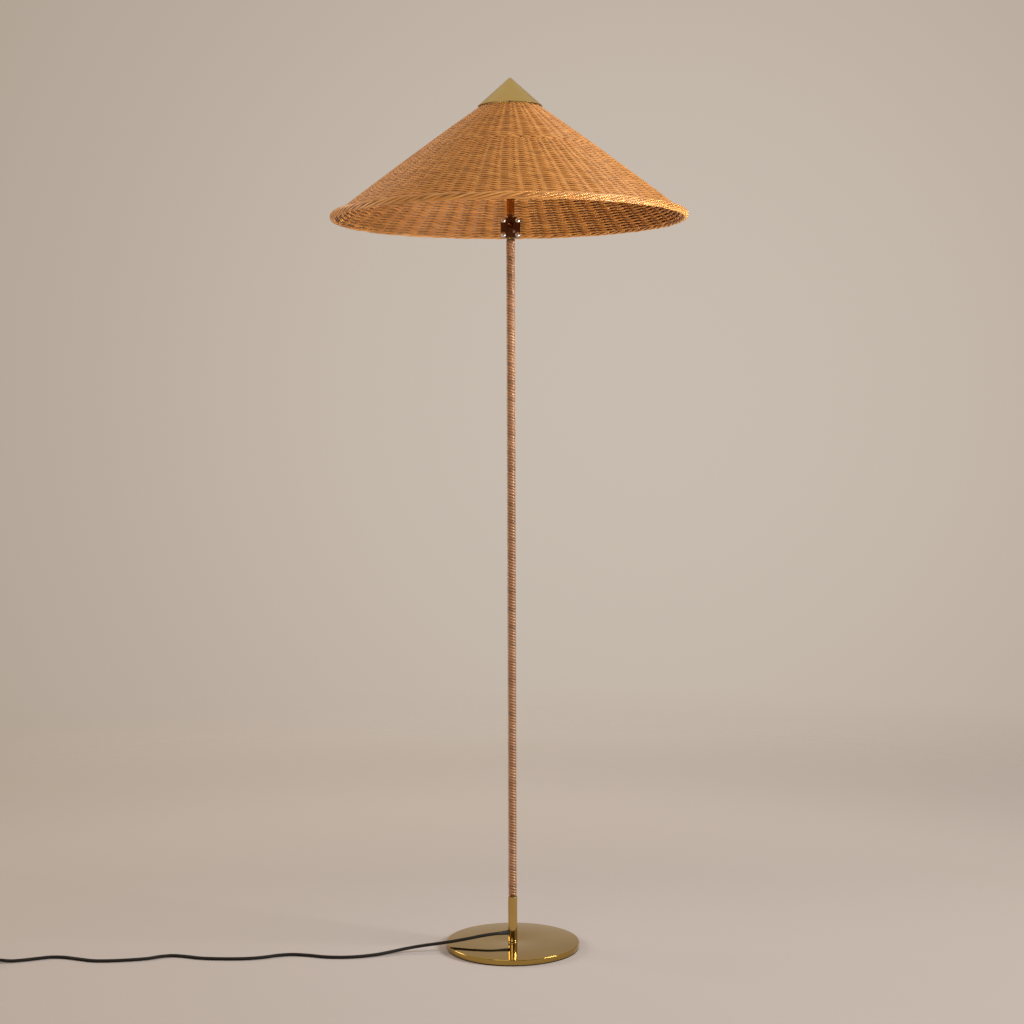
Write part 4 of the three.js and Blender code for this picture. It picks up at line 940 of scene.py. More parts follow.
@dataclass
class Bulb:
    """Opal globe bulb on its screw cap. Heights count from the bottom of each."""

    cap_bottom: float = 1323.79
    cap_height: float = 25.0
    cap_radius: float = 12.95
    thread: tuple[float, float] = (4.6, 20.2)
    thread_depth: float = 0.8
    thread_turns: float = 4.5
    tip_radius: float = 4.2
    globe_bottom: float = 1344.29
    globe_height: float = 85.0
    globe_radius: float = 30.0
    neck_radius: float = 11.35
    neck_height: float = 4.5
    neck_flare: float = 0.6
    shoulder: float = -50.0

    def build(self) -> None:
        """Makes the cap and the globe."""
        cap, globe = self.cap().placed((0, 0, self.cap_bottom)), self.globe().placed((0, 0, self.globe_bottom))
        add_piece("bulb_screw_cap", cap, NICKEL, Body.HEAD, ["bulb_cap"])
        add_piece("bulb_glass", globe, OPAL, Body.HEAD, ["bulb_globe"])

    def cap(self) -> Patch:
        """Thread: the radius is least plus depth times (1 + sin(2 pi turns z / height - a)) / 2, so it climbs."""
        low, high = self.thread
        inner = self.cap_radius - self.thread_depth
        line = np.stack([np.full(60, inner), np.linspace(low, high, 60)], -1)
        start = [(0, 0), (self.tip_radius, 0), (self.tip_radius + 1.5, 1.2)]
        ends = [(inner, self.cap_height), (inner - 0.5, self.cap_height), (inner - 0.5, high), (0, high)]
        patch = turned(np.concatenate([start, line, ends]), 64)
        x, y, z = patch.points.T
        share = (z - low) / (high - low)
        bump = (0.5 + 0.5 * np.sin(TURN * self.thread_turns * share - np.arctan2(y, x))) * self.thread_depth
        radius = np.hypot(x, y)
        outer = (radius > inner - 0.1) & (share > 0) & (share < 1)
        bump = np.where(outer, bump * np.clip(8 * share, 0, 1) * np.clip(8 - 8 * share, 0, 1), 0)
        patch.points[:, :2] *= (1 + bump / np.maximum(radius, 1))[:, None]
        return patch

    def globe(self) -> Patch:
        """A sphere, and below its shoulder a neck whose radius runs along a parabola to the neck's own."""
        angle = np.radians(np.linspace(self.shoulder, 89.0, 40))
        middle = self.globe_height - self.globe_radius
        ball = np.stack([self.globe_radius * np.cos(angle), middle + self.globe_radius * np.sin(angle)], -1)
        share = np.linspace(0, 1, 18)[:-1]
        radius = (1 - share) ** 2 * self.neck_radius
        radius += 2 * share * (1 - share) * (self.neck_radius + self.neck_flare) + share**2 * ball[0, 0]
        neck = np.stack([radius, self.neck_height + share * (ball[0, 1] - self.neck_height)], -1)
        start = [(0, 0), (self.neck_radius, 0), (self.neck_radius, self.neck_height - 0.2)]
        return turned(np.concatenate([start, neck, ball, [(0, self.globe_height)]]))


@dataclass
class Carrier:
    """Wire frame between the lampholder and the top of the shade."""

    bottom: float = 1338.09
    level: float = 1443.09
    plate: Profile = ((20.7, 0, 0.2), (29.3, 0, 0.4), (29.3, 1.6, 0.4), (20.7, 1.6, 0.2))
    hub: Profile = ((2.9, -2, 0.2), (6, -2, 0.5), (6, 2, 0.5), (2.9, 2, 0.2))
    ring_radius: float = 48.32
    hub_reach: float = 4.0
    foot_reach: float = 27.55
    foot_lift: float = 1.7
    wire: float = 2.0
    arm: float = 1.75
    arms: int = 3

    def build(self) -> None:
        """Makes the frame as one welded piece."""
        level, out = np.array([0, 0, self.level]), bearing(angles(96))
        ring = swept(self.ring_radius * out + level, round_section(self.wire, 14), out, loop=True)
        parts = [lathe(self.plate).placed((0, 0, self.bottom)), ring, lathe(self.hub, 40).placed(level)]
        for away in bearing(angles(self.arms, 0.25)):
            top = self.ring_radius * away + level
            foot = self.foot_reach * away + [0, 0, self.bottom + self.foot_lift]
            parts += [self.bar(foot, top, (1, 0.01, 0)), self.bar(self.hub_reach * away + level, top, (0, 0, 1))]
        add_piece("wire_frame", parts, NICKEL, Body.HEAD, ["shade_carrier"])

    def bar(self, start: np.ndarray, end: np.ndarray, out: Point) -> Patch:
        """A straight round wire between two points."""
        return swept(np.linspace(start, end, 3), round_section(self.arm, 16), out)


@dataclass
class Shade:
    """Cone of rattan: straight stakes, rows of paired rods twisting round them, a thick row and a plaited rim."""

    top_radius: float = 50.0
    rim_radius: float = 298.4
    top: float = 1449.64
    drop: float = 186.5
    bulge: float = 2.15
    middle: float = -2.2
    stakes: int = 48
    stake_radius: float = 1.5
    stake_taper: float = 0.08
    row_pitch: float = 6.4
    strand_size: tuple[float, float] = (1.05, 1.4)
    pair_half: float = 1.5
    pair_depth: float = 0.85
    cross_reach: float = 0.55
    wobble: Sequence[tuple[float, int]] = ((0.16, 2), (0.14, 5), (0.12, 17))
    wander: Waves = ((0.006, 3, 5, 0), (0.004, 11, -7, 1))
    filler_size: tuple[float, float] = (0.6, 1.7)
    filler_lift: float = 1.7
    gap_shade_lift: float = -0.4
    row_jitter: float = 0.1
    size_jitter: float = 0.05
    lopsided_reach: float = 2.3
    lopsided_drop: float = 1.5
    waling_radius: float = 148.5
    waling_width: float = 7.0
    waling_size: tuple[float, float] = (1.2, 1.6)
    waling_swing: tuple[float, float] = (2.1, 1.5)
    waling_lift: float = 0.5
    rim_room: float = 5.0
    rim_lanes: int = 6
    rim_turns: int = 97
    rim_out: float = 3.1
    rim_up: float = 4.5
    rim_lift: float = 1.3
    rim_size: tuple[float, float] = (1.7, 2.0)
    rim_swing: Waves = ((0.05, 2.3, 1), (0.05, 0.71, 0))
    rim_swell: Waves = ((0.1, 1.37, 2),)
    cap_room: float = 1.0
    steps: int = 8
    sides: int = 6
    rows_a_piece: int = 10
    seed: int = 11

    def __post_init__(self) -> None:
        """Starts the shade's own random numbers."""
        self.chance = np.random.default_rng(self.seed)
        self.run = self.rim_radius - self.top_radius
        self.slope = math.hypot(self.run, self.drop)
        self.lanes = 0
        self.fillers: list[Patch] = []
        self.gap_shade_rods: list[Patch] = []

    def on_cone(self, share: Any, angle: Any, lift: Any = 0.0) -> tuple[np.ndarray, np.ndarray, np.ndarray]:
        """Places on the cone.

        Args:
            share: share of the slope from the top edge to the rim.
            angle: angle round the axis.
            lift: distance out of the cone's outer face.

        Returns:
            Points, outward directions and downhill directions. The radius grows evenly with the share, the height
            falls evenly plus 4 bulge s (1 - s), the stakes wander by a few thousandths of a radian, and the left
            side, hand-made, grows wider and lower by (1 - cos a) s^2.
        """
        share, angle, lift = np.broadcast_arrays(share, angle, lift)
        turn = rippled(angle, self.wander, angle, share)
        fall = -self.drop + 4 * self.bulge * (1 - 2 * share)
        size = np.hypot(self.run, fall)
        round_way, upright = bearing(turn), np.array([0.0, 0.0, 1.0])
        out = (-fall / size)[..., None] * round_way + (self.run / size)[..., None] * upright
        down = (self.run / size)[..., None] * round_way + (fall / size)[..., None] * upright
        leftward = (1 - np.cos(angle)) * share**2
        radius = self.top_radius + self.run * share + self.lopsided_reach * leftward
        height = self.top - self.drop * share + 4 * self.bulge * share * (1 - share)
        height = height - self.lopsided_drop * leftward
        point = radius[..., None] * round_way + height[..., None] * upright
        return point + lift[..., None] * out, out, down

    def next_lane(self) -> int:
        """The number of the next strand."""
        self.lanes += 1
        return self.lanes

    def hoop(
        self, share: Any, angle: np.ndarray, lift: Any, size: tuple[float, float], corners: np.ndarray
    ) -> Patch:
        """A rod that runs round the cone and closes on itself.

        Args:
            share: place on the slope, one or one a point.
            angle: angles round the axis.
            lift: distance out of the stakes' middle, one or one a point.
            size: half thickness out of the cone and half width along the slope.
            corners: angles of the section's corners.

        Returns:
            The closed surface, with a lane of its own.
        """
        centre, out, down = self.on_cone(share, angle, self.middle + lift)
        thick, wide = (size[0] * np.cos(corners))[:, None], (size[1] * np.sin(corners))[:, None]
        points = centre[:, None] + thick * out[:, None] + wide * down[:, None]
        return lattice(points, way(centre, loop=True), self.next_lane(), loop=True)

    def strand(self, share: float, stakes: int, side: int, rod: int) -> Patch:
        """One rod of a row's two pairs of rods.

        Args:
            share: place of the row on the slope.
            stakes: stakes that it passes in a turn.
            side: 1 for the pair that starts outside, -1 for its partner.
            rod: 1 or -1, the rod's side within its pair.

        Returns:
            A closed tube. With t = stakes a / 2, a pair's middle stands side (reach cos t, cross sin t) off the
            stakes' middle, outwards and along the slope, and its rods rod (-depth half sin t, half cos t |cos t|)
            off that: the two pairs of a row twist round each other, one of them is outside at every stake, and
            the rows draw apart between the stakes.
        """
        angle = angles(stakes * self.steps)
        twist = stakes * angle / 2
        reach = self.stake_radius + self.strand_size[0] - 0.1
        draws = self.chance.normal(size=6)
        wobble = rippled(0, [(*wave, draw) for wave, draw in zip(self.wobble, draws)], angle)
        spread = rod * self.pair_half * np.cos(twist) * np.abs(np.cos(twist))
        along = side * self.cross_reach * np.sin(twist) + spread + wobble
        lift = side * reach * np.cos(twist) - rod * self.pair_depth * self.pair_half * np.sin(twist)
        wide, thick = 1 + self.size_jitter * draws[4:]
        size = (self.strand_size[0] * thick, self.strand_size[1] * wide)
        return self.hoop(share + along / self.slope, angle, lift, size, angles(self.sides, 0.5))

    def filler(self, share: float, lift: float) -> Patch:
        """A thin flat rod laid straight between two rows; where it meets a stake it runs through it, unseen."""
        return self.hoop(share, angles(4 * self.stakes), lift, self.filler_size, angles(self.sides, 0.5))

    def rows(self, first: float, last: float, stakes: int) -> list[Patch]:
        """Rows of paired rods between two shares of the slope.

        Args:
            first: share at which the rows start.
            last: share at which they end.
            stakes: stakes that each row passes in a turn.

        Returns:
            The rods. The filler below each row and a dark painted-shade rod deeper in the same gap are kept for
            later.
        """
        count = max(1, round((last - first) * self.slope / self.row_pitch))
        places = first + (np.arange(count) + 0.5) * (last - first) / count
        places = places + self.chance.uniform(-self.row_jitter, self.row_jitter, count) / self.slope
        made = []
        for place in places:
            made += [self.strand(place, stakes, side, rod) for side in (1, -1) for rod in (1, -1)]
            between = place + (last - first) / count / 2
            self.fillers.append(self.filler(between, self.filler_lift))
            # A dark rod deeper in the same gap: painted shade for the gap seen from inside the shade.
            self.gap_shade_rods.append(self.filler(between, self.gap_shade_lift))
        return made

    def waling(self, share: float) -> list[Patch]:
        """Three thicker rods that pass outside two stakes and inside one: lift and way follow cos t and sin t."""
        angle = angles(10 * self.stakes)
        outwards, along = self.waling_swing
        rings = []
        for third in range(3):
            twist = self.stakes / 3 * angle + TURN * third / 3
            place = share + along * np.sin(twist) / self.slope
            lift = self.waling_lift + outwards * np.cos(twist)
            rings.append(self.hoop(place, angle, lift, self.waling_size, angles(10)))
        return rings

    def stake(self, number: int, first: float) -> Patch:
        """One straight stake from a share of the slope down to the rim."""
        share = np.linspace(first, 1.0, 60)
        centre, out, _ = self.on_cone(share, TURN * number / self.stakes, self.middle)
        taper = self.stake_radius * (1 - self.stake_taper + self.stake_taper * share)
        return swept(centre, round_section(1, 8)[None] * taper[:, None, None], out, self.next_lane())

    def rim(self) -> list[Patch]:
        """Plaited rim: one strand led round a core `rim_lanes` times, with `rim_turns` turns about it in all."""
        steps = self.stakes * 16
        angle = TURN * np.arange(self.rim_lanes * steps) / steps
        roll = angle * self.rim_turns / self.rim_lanes
        swing = rippled(1, self.rim_swing, roll)
        upright = np.array([0.0, 0.0, 1.0])
        lift, out = self.rim_lift * upright, bearing(angle)
        side, rise = (np.cos(roll) * swing)[:, None], (np.sin(roll) * swing)[:, None]
        rope = self.on_cone(1.0, angle)[0] + lift + self.rim_out * side * out + self.rim_up * rise * upright
        away = side * self.rim_up * out + rise * self.rim_out * upright
        away = away / np.linalg.norm(away, axis=1, keepdims=True)
        fuller = rippled(1, self.rim_swell, roll)[:, None, None]
        core = self.on_cone(1.0, angles(240))[0] + lift
        heart = round_section(1, 10) * [self.rim_up - 1.0, self.rim_out - 1.0]
        return [
            swept(rope, (round_section(1, 8) * self.rim_size)[None] * fuller, away, self.next_lane(), loop=True),
            swept(core, heart, (0, 0, 1), self.next_lane(), loop=True),
        ]

    def build(self) -> None:
        """Makes the stakes, the rows in pieces under the size limit, the thick row and the rim."""
        waling = (self.waling_radius - self.top_radius) / self.run
        half = self.waling_width / 2 / self.slope
        stakes = [self.stake(number, 0.004) for number in range(0, self.stakes, 2)]
        stakes += [self.stake(number, waling - 1.4 * half) for number in range(1, self.stakes, 2)]
        upper = self.rows(self.cap_room / self.slope, waling - half, self.stakes // 2)
        lower = self.rows(waling + half, 1 - self.rim_room / self.slope, self.stakes)
        size = 4 * self.rows_a_piece
        starts = range(0, len(lower), size)
        pieces = [("shade_stakes", stakes, STAKE, 70), ("weave_upper", upper, WEAVE, 180)]
        pieces += [(f"weave_lower_{n + 1}", lower[k : k + size], WEAVE, 180) for n, k in enumerate(starts)]
        # The dark rods under the gaps are painted shade, not a real part of the weave.
        pieces += [("weave_fillers", self.fillers, FILLER, 180), ("weave_painted_gap_shade", self.gap_shade_rods, PAINTED_GAP_SHADE, 180)]
        pieces += [("weave_waling", self.waling(waling), WEAVE, 180)]
        for name, patches, finish, crease in pieces:
            add_piece(name, patches, finish, Body.HEAD, ["rattan_shade"], crease)
        add_piece("plaited_rim", self.rim(), RIM, Body.HEAD, ["rattan_border"], 180)


@dataclass
class Cap:
    """Spun brass cone over the top of the shade."""

    bottom: float = 1450.45
    radius: float = 55.3
    height: float = 49.5
    sheet: float = 1.2
    lip: float = 1.0
    tip: float = 1.6
    boss_radius: float = 5.0
    boss_depth: float = 12.0
    hole: float = 2.8

    def build(self) -> None:
        """Makes the cone, its lip rolled and its tip blunt."""
        slope = (self.height - self.lip) / (self.radius - self.tip)
        boss_top = self.lip + (self.radius - self.boss_radius) * slope - self.sheet * math.hypot(1, slope)
        boss_bottom = boss_top - self.boss_depth
        hole_top = boss_bottom + self.boss_depth / 2
        patch = lathe([
            (0, hole_top),
            (self.hole, hole_top, 0.1),
            (self.hole, boss_bottom, 0.1),
            (self.boss_radius, boss_bottom, 0.3),
            (self.boss_radius, boss_top, 0.6),
            (self.radius - 1.5 * self.sheet, self.lip, 0.3),
            (self.radius - 0.4, 0, 0.08),
            (self.radius, 0.3, 0.12),
            (self.tip, self.height - self.tip / 2, 1.3),
            (0, self.height),
        ], 160)
        placed = patch.placed((0, 0, self.bottom))
        add_piece("brass_cone", placed, CAP_BRASS, Body.HEAD, ["shade_cap"])


@dataclass
class MainsCord:
    """Black braided cord: from the foot to the switch, and from the switch to the plug by way of a coil.

    The routes are (x, y, height) of the centreline; where no height is given the cord lies on the floor.
    """

    radius: float = 2.75
    sides: int = 14
    spacing: float = 2.0
    gland_reach: Sequence[float] = (14.0, 26.6, 32.0)
    coil_centre: tuple[float, float] = (-985.0, -5.0)
    coil_radius: float = 42.0
    coil_pitch: float = 6.0
    coil_turns: int = 6
    lead_route: Profile = (
        (-42, -15.1, 25.7), (-56, -18.8, 24.4), (-73, -23.2, 22.2), (-100, -27, 18.3), (-128, -29, 14.6),
        (-156, -31, 11.4), (-182, -35.5, 8.2), (-206, -43, 5.2), (-230, -53, 3.3), (-256, -62.5),
        (-285, -68), (-319, -66), (-350, -56), (-378, -51), (-402, -56), (-427, -67.5), (-453, -74),
        (-490, -75), (-530, -71), (-560, -60.5), (-583, -55.5), (-603, -61), (-622, -72), (-650, -79.5),
        (-687, -84.5), (-713, -83.5), (-741, -73), (-766, -63.5), (-789, -62), (-811, -70),
        (-834, -79.5), (-853, -84.5, 3.1), (-868, -86, 4.8), (-883.2, -86, 6), (-889.5, -86, 6),
    )
    tail_route: Profile = (
        (-960.5, -86, 6), (-966.8, -86, 6), (-977, -85.6, 5), (-989, -84, 3.3), (-1002, -79.5), (-1014, -71),
        (-1022.5, -58.5), (-1026.5, -43), (-1027, -26), (-1027, -16.3), (-1027, -10.8),
    )
    end_route: Profile = (
        (-1027, 0.8, 8.75), (-1027, 6.3, 8.75), (-1027, 19, 7.8), (-1026.8, 31, 5.7), (-1025.6, 43, 3.7),
        (-1021.5, 55, 2.9), (-1013.5, 66, 3.6), (-1002.5, 73.5, 5.4), (-989.8, 76, 6.8), (-983.2, 76, 6.8),
    )

    def line(self, route: Profile) -> np.ndarray:
        """A smooth centreline through a route."""
        return curve_through([(*place, self.radius)[:3] for place in route], self.spacing)

    def lead(self) -> np.ndarray:
        """Centreline from inside the boot to the switch."""
        starts = [tuple(reach * GLAND_WAY + [0, 0, GLAND_HEIGHT]) for reach in self.gland_reach]
        return self.line((*starts, *self.lead_route))

    def coil(self) -> np.ndarray:
        """Spiral: radius = outer - pitch (turns / 2 - |t|), t from the middle, where it steps up a layer."""
        turn = np.linspace(0, self.coil_turns, 48 * self.coil_turns)
        middle = turn - self.coil_turns / 2
        radius = self.coil_radius - self.coil_pitch * (self.coil_turns / 2 - np.abs(middle))
        line = radius[:, None] * bearing(math.pi - TURN * turn) + [*self.coil_centre, self.radius]
        line[:, 2] += self.coil_pitch * smooth(np.clip(0.5 + 2 * middle, 0, 1))
        return line

    def build(self, with_switch: Sequence[bpy.types.Object], with_plug: Sequence[bpy.types.Object]) -> None:
        """Args:
            with_switch: the pieces of the switch; not used.
            with_plug: the pieces of the plug; not used.
        """
        first = self.lead()
        rest = np.concatenate([self.line(self.tail_route), self.coil(), self.line(self.end_route)])
        for name, path, nodes, far_end, lay, pieces in (
            ("cord_to_switch", first, ["cord_lead"], "fitting", "loose", with_switch),
            ("cord_to_plug", rest, ["cord_tail", "cord_coil", "cord_end"], "plug", "coiled", with_plug),
        ):
            patch = swept(path, round_section(self.radius, self.sides))
            cord = add_piece(name, patch, BRAID, Body.STAND, nodes)


@dataclass
class FootSwitch:
    """Foot switch on the cord: base, cover and button. Inset is how far a wall stands in from the outline."""

    place: Point = (-925.0, -86.0, 0.0)
    length: float = 52.0
    width: float = 42.0
    corner: float = 9.0
    base_walls: Profile = ((0.9, 0, 0), (0, 0.9, 0.6), (0, 8, 0.4), (0.6, 8, 0))
    cover_outside: Profile = ((0, 8.3), (0, 16), (0.25, 17.8), (0.9, 19.1), (2, 19.8), (3.2, 20))
    cover_hole: Profile = ((14.4, 20), (14.4, 18))
    cover_inside: Profile = ((3.4, 18), (2, 16), (2, 8.3))
    button: Profile = (
        (0, 15.7), (16.4, 15.7, 0.4), (16.4, 17.7, 0.4), (14, 17.7, 0.2),
        (14, 23.2, 1.6), (10.5, 23.3, 1.2), (6, 22.6, 1.5), (0, 22.4),
    )
    grip_ends: tuple[float, float] = (20.0, 36.0)
    grip_radii: tuple[float, float] = (4.4, 3.3)
    grip_groove: float = 0.25
    grip_height: float = 6.0

    def build(self) -> list[bpy.types.Object]:
        """Makes the switch and returns its pieces."""
        base = joined([self.base(), self.grip(-1), self.grip(1)])
        return [
            add_piece(name, patch.placed(self.place), PLASTIC, body, [node])
            for name, patch, body, node in (
                ("switch_bottom", base, Body.STAND, "switch_base"),
                ("switch_top", self.cover(), Body.STAND, "switch_cover"),
                ("switch_push", lathe(self.button, 72), Body.BUTTON, "foot_button"),
            )
        ]

    def walls(self, rows: np.ndarray | Profile, steps: int) -> np.ndarray:
        """The outline at each (inset, height) of a wall, of shape (rows, points, 3)."""
        flat, out = rounded_outline(self.length, self.width, self.corner, steps)
        levels = [np.column_stack([flat - inset * out, np.full(len(flat), height)]) for inset, height in rows]
        return np.stack(levels)

    def base(self) -> Patch:
        """Base: the outline led up its walls, with flat lids."""
        rows = eased(self.base_walls, closed=False)
        return lattice(self.walls(rows, 10), way(rows, loop=True))

    def grip(self, side: int) -> Patch:
        """Tapered grip round the cord at one end, with shallow rings of depth groove sin^8."""
        share = np.linspace(0, 1, 40)
        wide, narrow = self.grip_radii
        radius = wide + (narrow - wide) * share - self.grip_groove * np.sin(3 * math.pi * share) ** 8
        start, end = self.grip_ends
        line = np.stack([radius, start + (end - start) * share], -1)
        profile = np.concatenate([[(0, start)], line, [(0, end)]])
        return turned(profile, 32).placed((0, 0, self.grip_height), (side, 0, 0))

    def cover(self) -> Patch:
        """Cover: an outline that leans in and rounds over to the rim of the button's hole, with its inside."""
        outside, inside = self.walls(self.cover_outside, 14), self.walls(self.cover_inside, 14)
        out = bearing(np.arctan2(outside[0, :, 1], outside[0, :, 0]))
        hole = [radius * out + [0, 0, height] for radius, height in self.cover_hole]
        points = np.concatenate([outside, hole, inside])
        return lattice(points, np.arange(len(points) + 1.0), loop=True)


@dataclass
class Plug:
    """Flat two-pin plug, lying on the floor; shares count from its tail to its face."""

    x: float = -984.0
    y: float = 76.0
    length: float = 35.0
    width: float = 25.5
    thickness: float = 13.6
    tail: float = 11.0
    tail_thickness: float = 0.62
    shoulder: float = 0.62
    squareness: float = 0.55
    round_tail: float = 0.04
    round_face: float = 0.95
    ridge: float = 0.35
    ridge_span: tuple[float, float] = (0.08, 0.4)
    pin: Profile = ((0, -6), (2, -6, 0.2), (2, 19, 1.1), (0, 19))
    pin_gap: float = 18.6

    def build(self) -> list[bpy.types.Object]:
        """Makes the plug and returns its pieces."""
        pieces = [add_piece("plug_shell", self.shell(), PLASTIC, Body.STAND, ["plug_body"])]
        for name, side in (("front", -1), ("rear", 1)):
            place = (self.x + self.length, self.y + side * self.pin_gap / 2, self.thickness / 2)
            pin = lathe(self.pin, 32).placed(place, (1, 0, 0))
            pieces.append(add_piece(f"pin_{name}", pin, NICKEL, Body.STAND, [f"plug_pin_{name}"]))
        return pieces

    def shell(self) -> Patch:
        """Shell: sections along X that swell from the tail to the shoulder, with round corners."""
        tail, face = self.round_tail, self.round_face
        share = np.concatenate([np.linspace(0, tail, 5), np.linspace(0.08, 0.92, 26), np.linspace(face, 1, 6)])
        swell = smooth(np.clip(share / self.shoulder, 0, 1))
        past_face = np.clip(share - face, 0, 1) / (1 - face)
        past_tail = np.clip(tail - share, 0, 1) / tail
        rounding = 0.94 + 0.06 * np.sqrt(np.clip(1 - past_face**2, 0, 1))
        rounding = rounding * (0.9 + 0.1 * np.sqrt(np.clip(1 - past_tail**2, 0, 1)))
        half_width = (self.tail + (self.width - self.tail) * swell) / 2 * rounding
        half_height = self.thickness / 2 * (self.tail_thickness + (1 - self.tail_thickness) * swell) * rounding
        ridged = (share > self.ridge_span[0]) & (share < self.ridge_span[1])
        ridge = self.ridge * np.where(ridged, np.sin(share * TURN * 14), 0)
        circle = round_section(1, 48).T
        across, upward = np.sign(circle) * np.abs(circle) ** self.squareness
        y = self.y + (half_width + ridge)[:, None] * across
        z = self.thickness / 2 + np.minimum(half_height + ridge, self.thickness / 2)[:, None] * upward
        x = np.broadcast_to((self.x + self.length * share)[:, None], y.shape)
        return lattice(np.stack([x, y, z], -1), self.length * share)


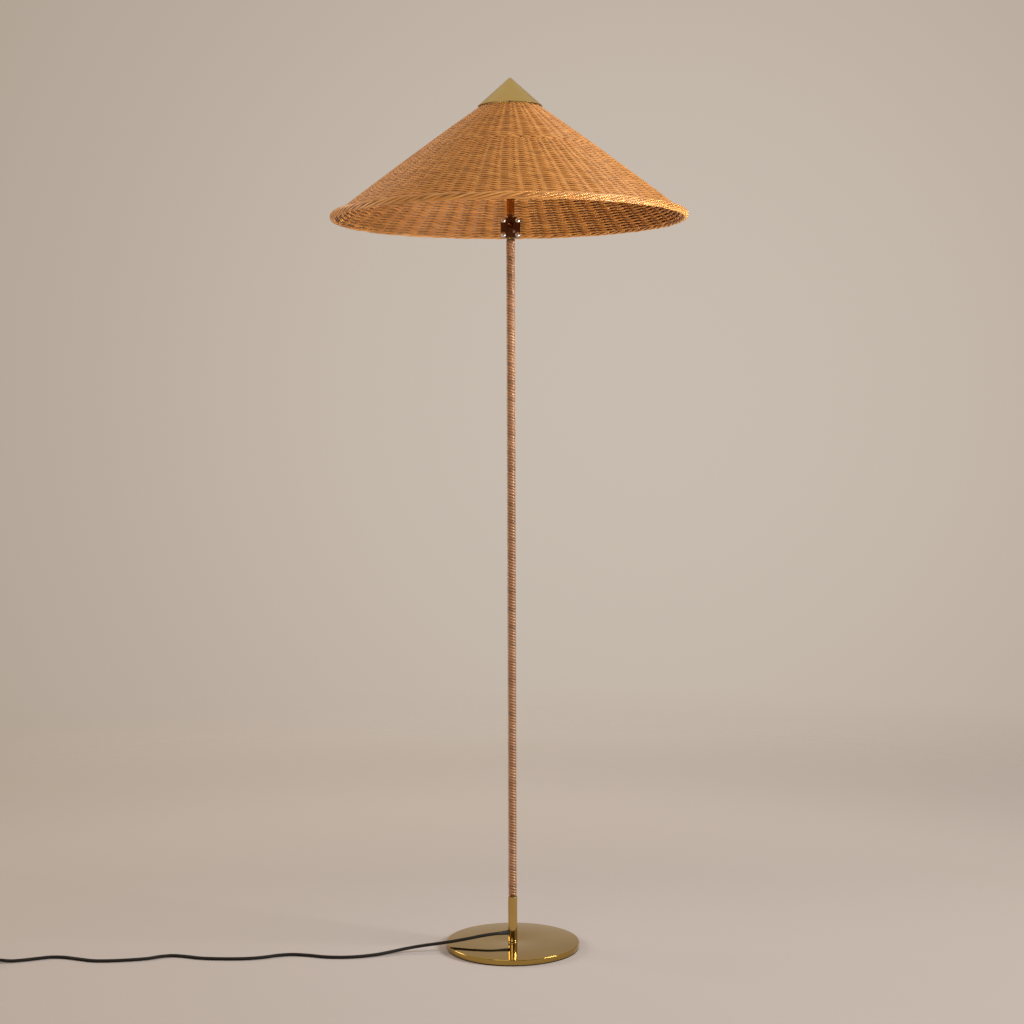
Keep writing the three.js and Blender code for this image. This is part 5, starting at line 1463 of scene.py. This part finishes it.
@dataclass
class Studio:
    """Camera, floor, background and lamps; all in metres and degrees."""

    camera_place: Point = (0.001, -3.1097, 0.9065)
    pitch: float = 2.723
    roll: float = -0.18
    focal_pixels: float = 1806.869
    picture_pixels: int = 1024
    sensor: float = 36.0
    floor_radius: float = 6.0
    floor_depth: float = 5.0
    floor_drop: float = 0.02
    floor_near: Colour = (0.495, 0.432, 0.405)
    floor_far: Colour = (0.445, 0.385, 0.345)
    floor_back: Colour = (0.68, 0.60, 0.54)
    pool: float = 1.2
    fade_start: float = 1.0
    fade_end: float = 3.2
    wall_dark: Colour = (0.400, 0.325, 0.257)
    wall_middle: Colour = (0.487, 0.410, 0.340)
    wall_light: Colour = (0.578, 0.503, 0.434)
    bright_way: Point = (0.075, 0.997, 0.02)
    ceiling: Colour = (0.70, 0.62, 0.53)
    dark_room: Colour = (0.07, 0.055, 0.04)
    ambient: float = 0.42
    ambient_tint: Colour = (1.0, 0.93, 0.83)

    def camera(self) -> None:
        """Makes the camera that the photograph was taken with."""
        data = bpy.data.cameras.new("camera")
        data.sensor_width = self.sensor
        data.lens = self.focal_pixels / self.picture_pixels * self.sensor
        data.clip_start, data.clip_end = 0.05, 100
        camera = bpy.data.objects.new("camera", data)
        turn = Matrix.Rotation(math.radians(90 - self.pitch), 4, "X")
        turn = turn @ Matrix.Rotation(math.radians(self.roll), 4, "Z")
        camera.matrix_world = Matrix.Translation(self.camera_place) @ turn
        bpy.context.scene.collection.objects.link(camera)
        bpy.context.scene.camera = camera

    def floor(self) -> None:
        """A round floor that clears with the distance from the lamp, so that it runs into the wall unseen."""
        edge, under, level = self.floor_radius / MM, -self.floor_depth, -self.floor_drop
        rings = [(0, under), (edge, under), (edge, level), (2500.0, level), (1000.0, level), (0, level)]
        floor = make_mesh("floor", turned(np.array(rings)), 40)
        material = bpy.data.materials.new("studio_floor")
        recipe = Recipe(material)
        place = recipe.place()
        distance = recipe.add("ShaderNodeVectorMath", {"operation": "LENGTH"}, {0: place}, output="Value")
        fade = smooth(((distance - self.fade_start) / (self.fade_end - self.fade_start)).held())
        cloud = recipe.noise(place, 2.0) * 0.1
        tone = recipe.ramp((distance / self.pool + cloud).held(), (0.2, self.floor_near), (0.95, self.floor_far))
        across, depth = recipe.part(place, 0), recipe.part(place, 1)
        middle = (1.0 - across * across * 0.35).held()
        tone = recipe.blend(((depth - 0.5) * 0.6).held() * middle, tone, self.floor_back)
        matt = recipe.add("ShaderNodeBsdfDiffuse", {}, {"Color": tone})
        clear = recipe.add("ShaderNodeBsdfTransparent")
        mixed = recipe.add("ShaderNodeMixShader", {}, {0: fade, 1: matt, 2: clear})
        recipe.add("ShaderNodeOutputMaterial", {}, {"Surface": mixed})
        floor.data.materials.append(material)

    def world(self) -> None:
        """Background: a warm wall, lighter round one direction, with a ceiling and a dark room in reflections."""
        world = bpy.data.worlds.new("studio")
        bpy.context.scene.world = world
        recipe = Recipe(world)
        kinds = ("Is Camera Ray", "Is Glossy Ray", "Is Transmission Ray")
        rays = [recipe.add("ShaderNodeLightPath", output=kind) for kind in kinds]
        seen = (rays[0] + rays[1] + rays[2]).held()
        view = recipe.add("ShaderNodeTexCoord", output="Generated")
        directions = {0: view, 1: self.bright_way}
        facing = recipe.add("ShaderNodeVectorMath", {"operation": "DOT_PRODUCT"}, directions, output="Value")
        tone = recipe.ramp(facing, (0.88, self.wall_dark), (0.955, self.wall_middle), (1.0, self.wall_light))
        back, rise = recipe.part(view, 1), recipe.part(view, 2)
        above = ((rise - 0.3) * 2.2).held()
        behind = ((-0.45 - back) * 3.0).held() * (1.0 - above)
        tone = recipe.blend(above * rays[1], tone, self.ceiling)
        tone = recipe.blend(behind * rays[1], tone, self.dark_room)
        wall = recipe.add("ShaderNodeBackground", {}, {"Color": tone, "Strength": 1.0})
        ambient = {"Color": (*self.ambient_tint, 1), "Strength": self.ambient}
        light = recipe.add("ShaderNodeBackground", {}, ambient)
        mixed = recipe.add("ShaderNodeMixShader", {}, {0: seen, 1: light, 2: wall})
        recipe.add("ShaderNodeOutputWorld", {}, {"Surface": mixed})

    @staticmethod
    def lamp(
        name: str, place: Point, aim: Point, size: float, power: float, colour: Colour, spread: float = 180.0
    ) -> None:
        """One soft square light.

        Args:
            name: its name.
            place: where it stands.
            aim: what it points at.
            size: its side.
            power: its power in watts.
            colour: its colour.
            spread: the full angle of its beam.
        """
        data = bpy.data.lights.new(name, "AREA")
        data.spread = math.radians(spread)
        data.shape, data.size, data.energy, data.color = "SQUARE", size, power, colour
        light = bpy.data.objects.new(name, data)
        light.location = place
        light.rotation_euler = (Vector(aim) - Vector(place)).to_track_quat("-Z", "Y").to_euler()
        bpy.context.scene.collection.objects.link(light)

    def lamps(self) -> None:
        """A key light on the right, weaker ones at the left rear and in front, a narrow one low on the right."""
        self.lamp("key", (4.3, -1.2, 2.9), (0, 0, 0.9), 1.8, 265, (0.95, 0.97, 0.98))
        self.lamp("edge", (-3.6, 1.2, 1.9), (0, 0, 0.9), 1.6, 70, (1.0, 0.90, 0.76))
        self.lamp("front", (-1.6, -4.6, 2.6), (0, 0, 0.8), 2.4, 45, (1.0, 0.94, 0.86))
        self.lamp("low", (1.3, -0.8, 0.05), (0, 0.1, 1.36), 0.5, 3.0, (1.0, 0.97, 0.92), spread=34)


def main() -> None:
    """Builds the studio and then the lamp, piece by piece."""
    logging.basicConfig(level=logging.INFO, format="%(name)s: %(message)s")
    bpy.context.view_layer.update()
    bpy.context.scene.view_settings.view_transform = "Standard"
    studio = Studio()
    studio.camera()
    MainsCord().build(FootSwitch().build(), Plug().build())
    foot = (FOOT_DISC, FOOT_SLEEVE, Boot(), FELT_RING)
    stem = (Winding(), WINDING_BED, ClampScrews(), SwivelBall(), BRIGHT_TUBE)
    holder = (SOCKET_CUP, SOCKET_CORE, SOCKET_SKIRT, SocketRing(), Bulb(), Carrier())
    for part in (*foot, *stem, *holder, Shade(), Cap()):
        part.build()
    for finish, names in DRESSED:
        dress_nodes(finish, names)
    studio.floor()
    studio.world()
    studio.lamps()


if __name__ == "__main__":
    main()
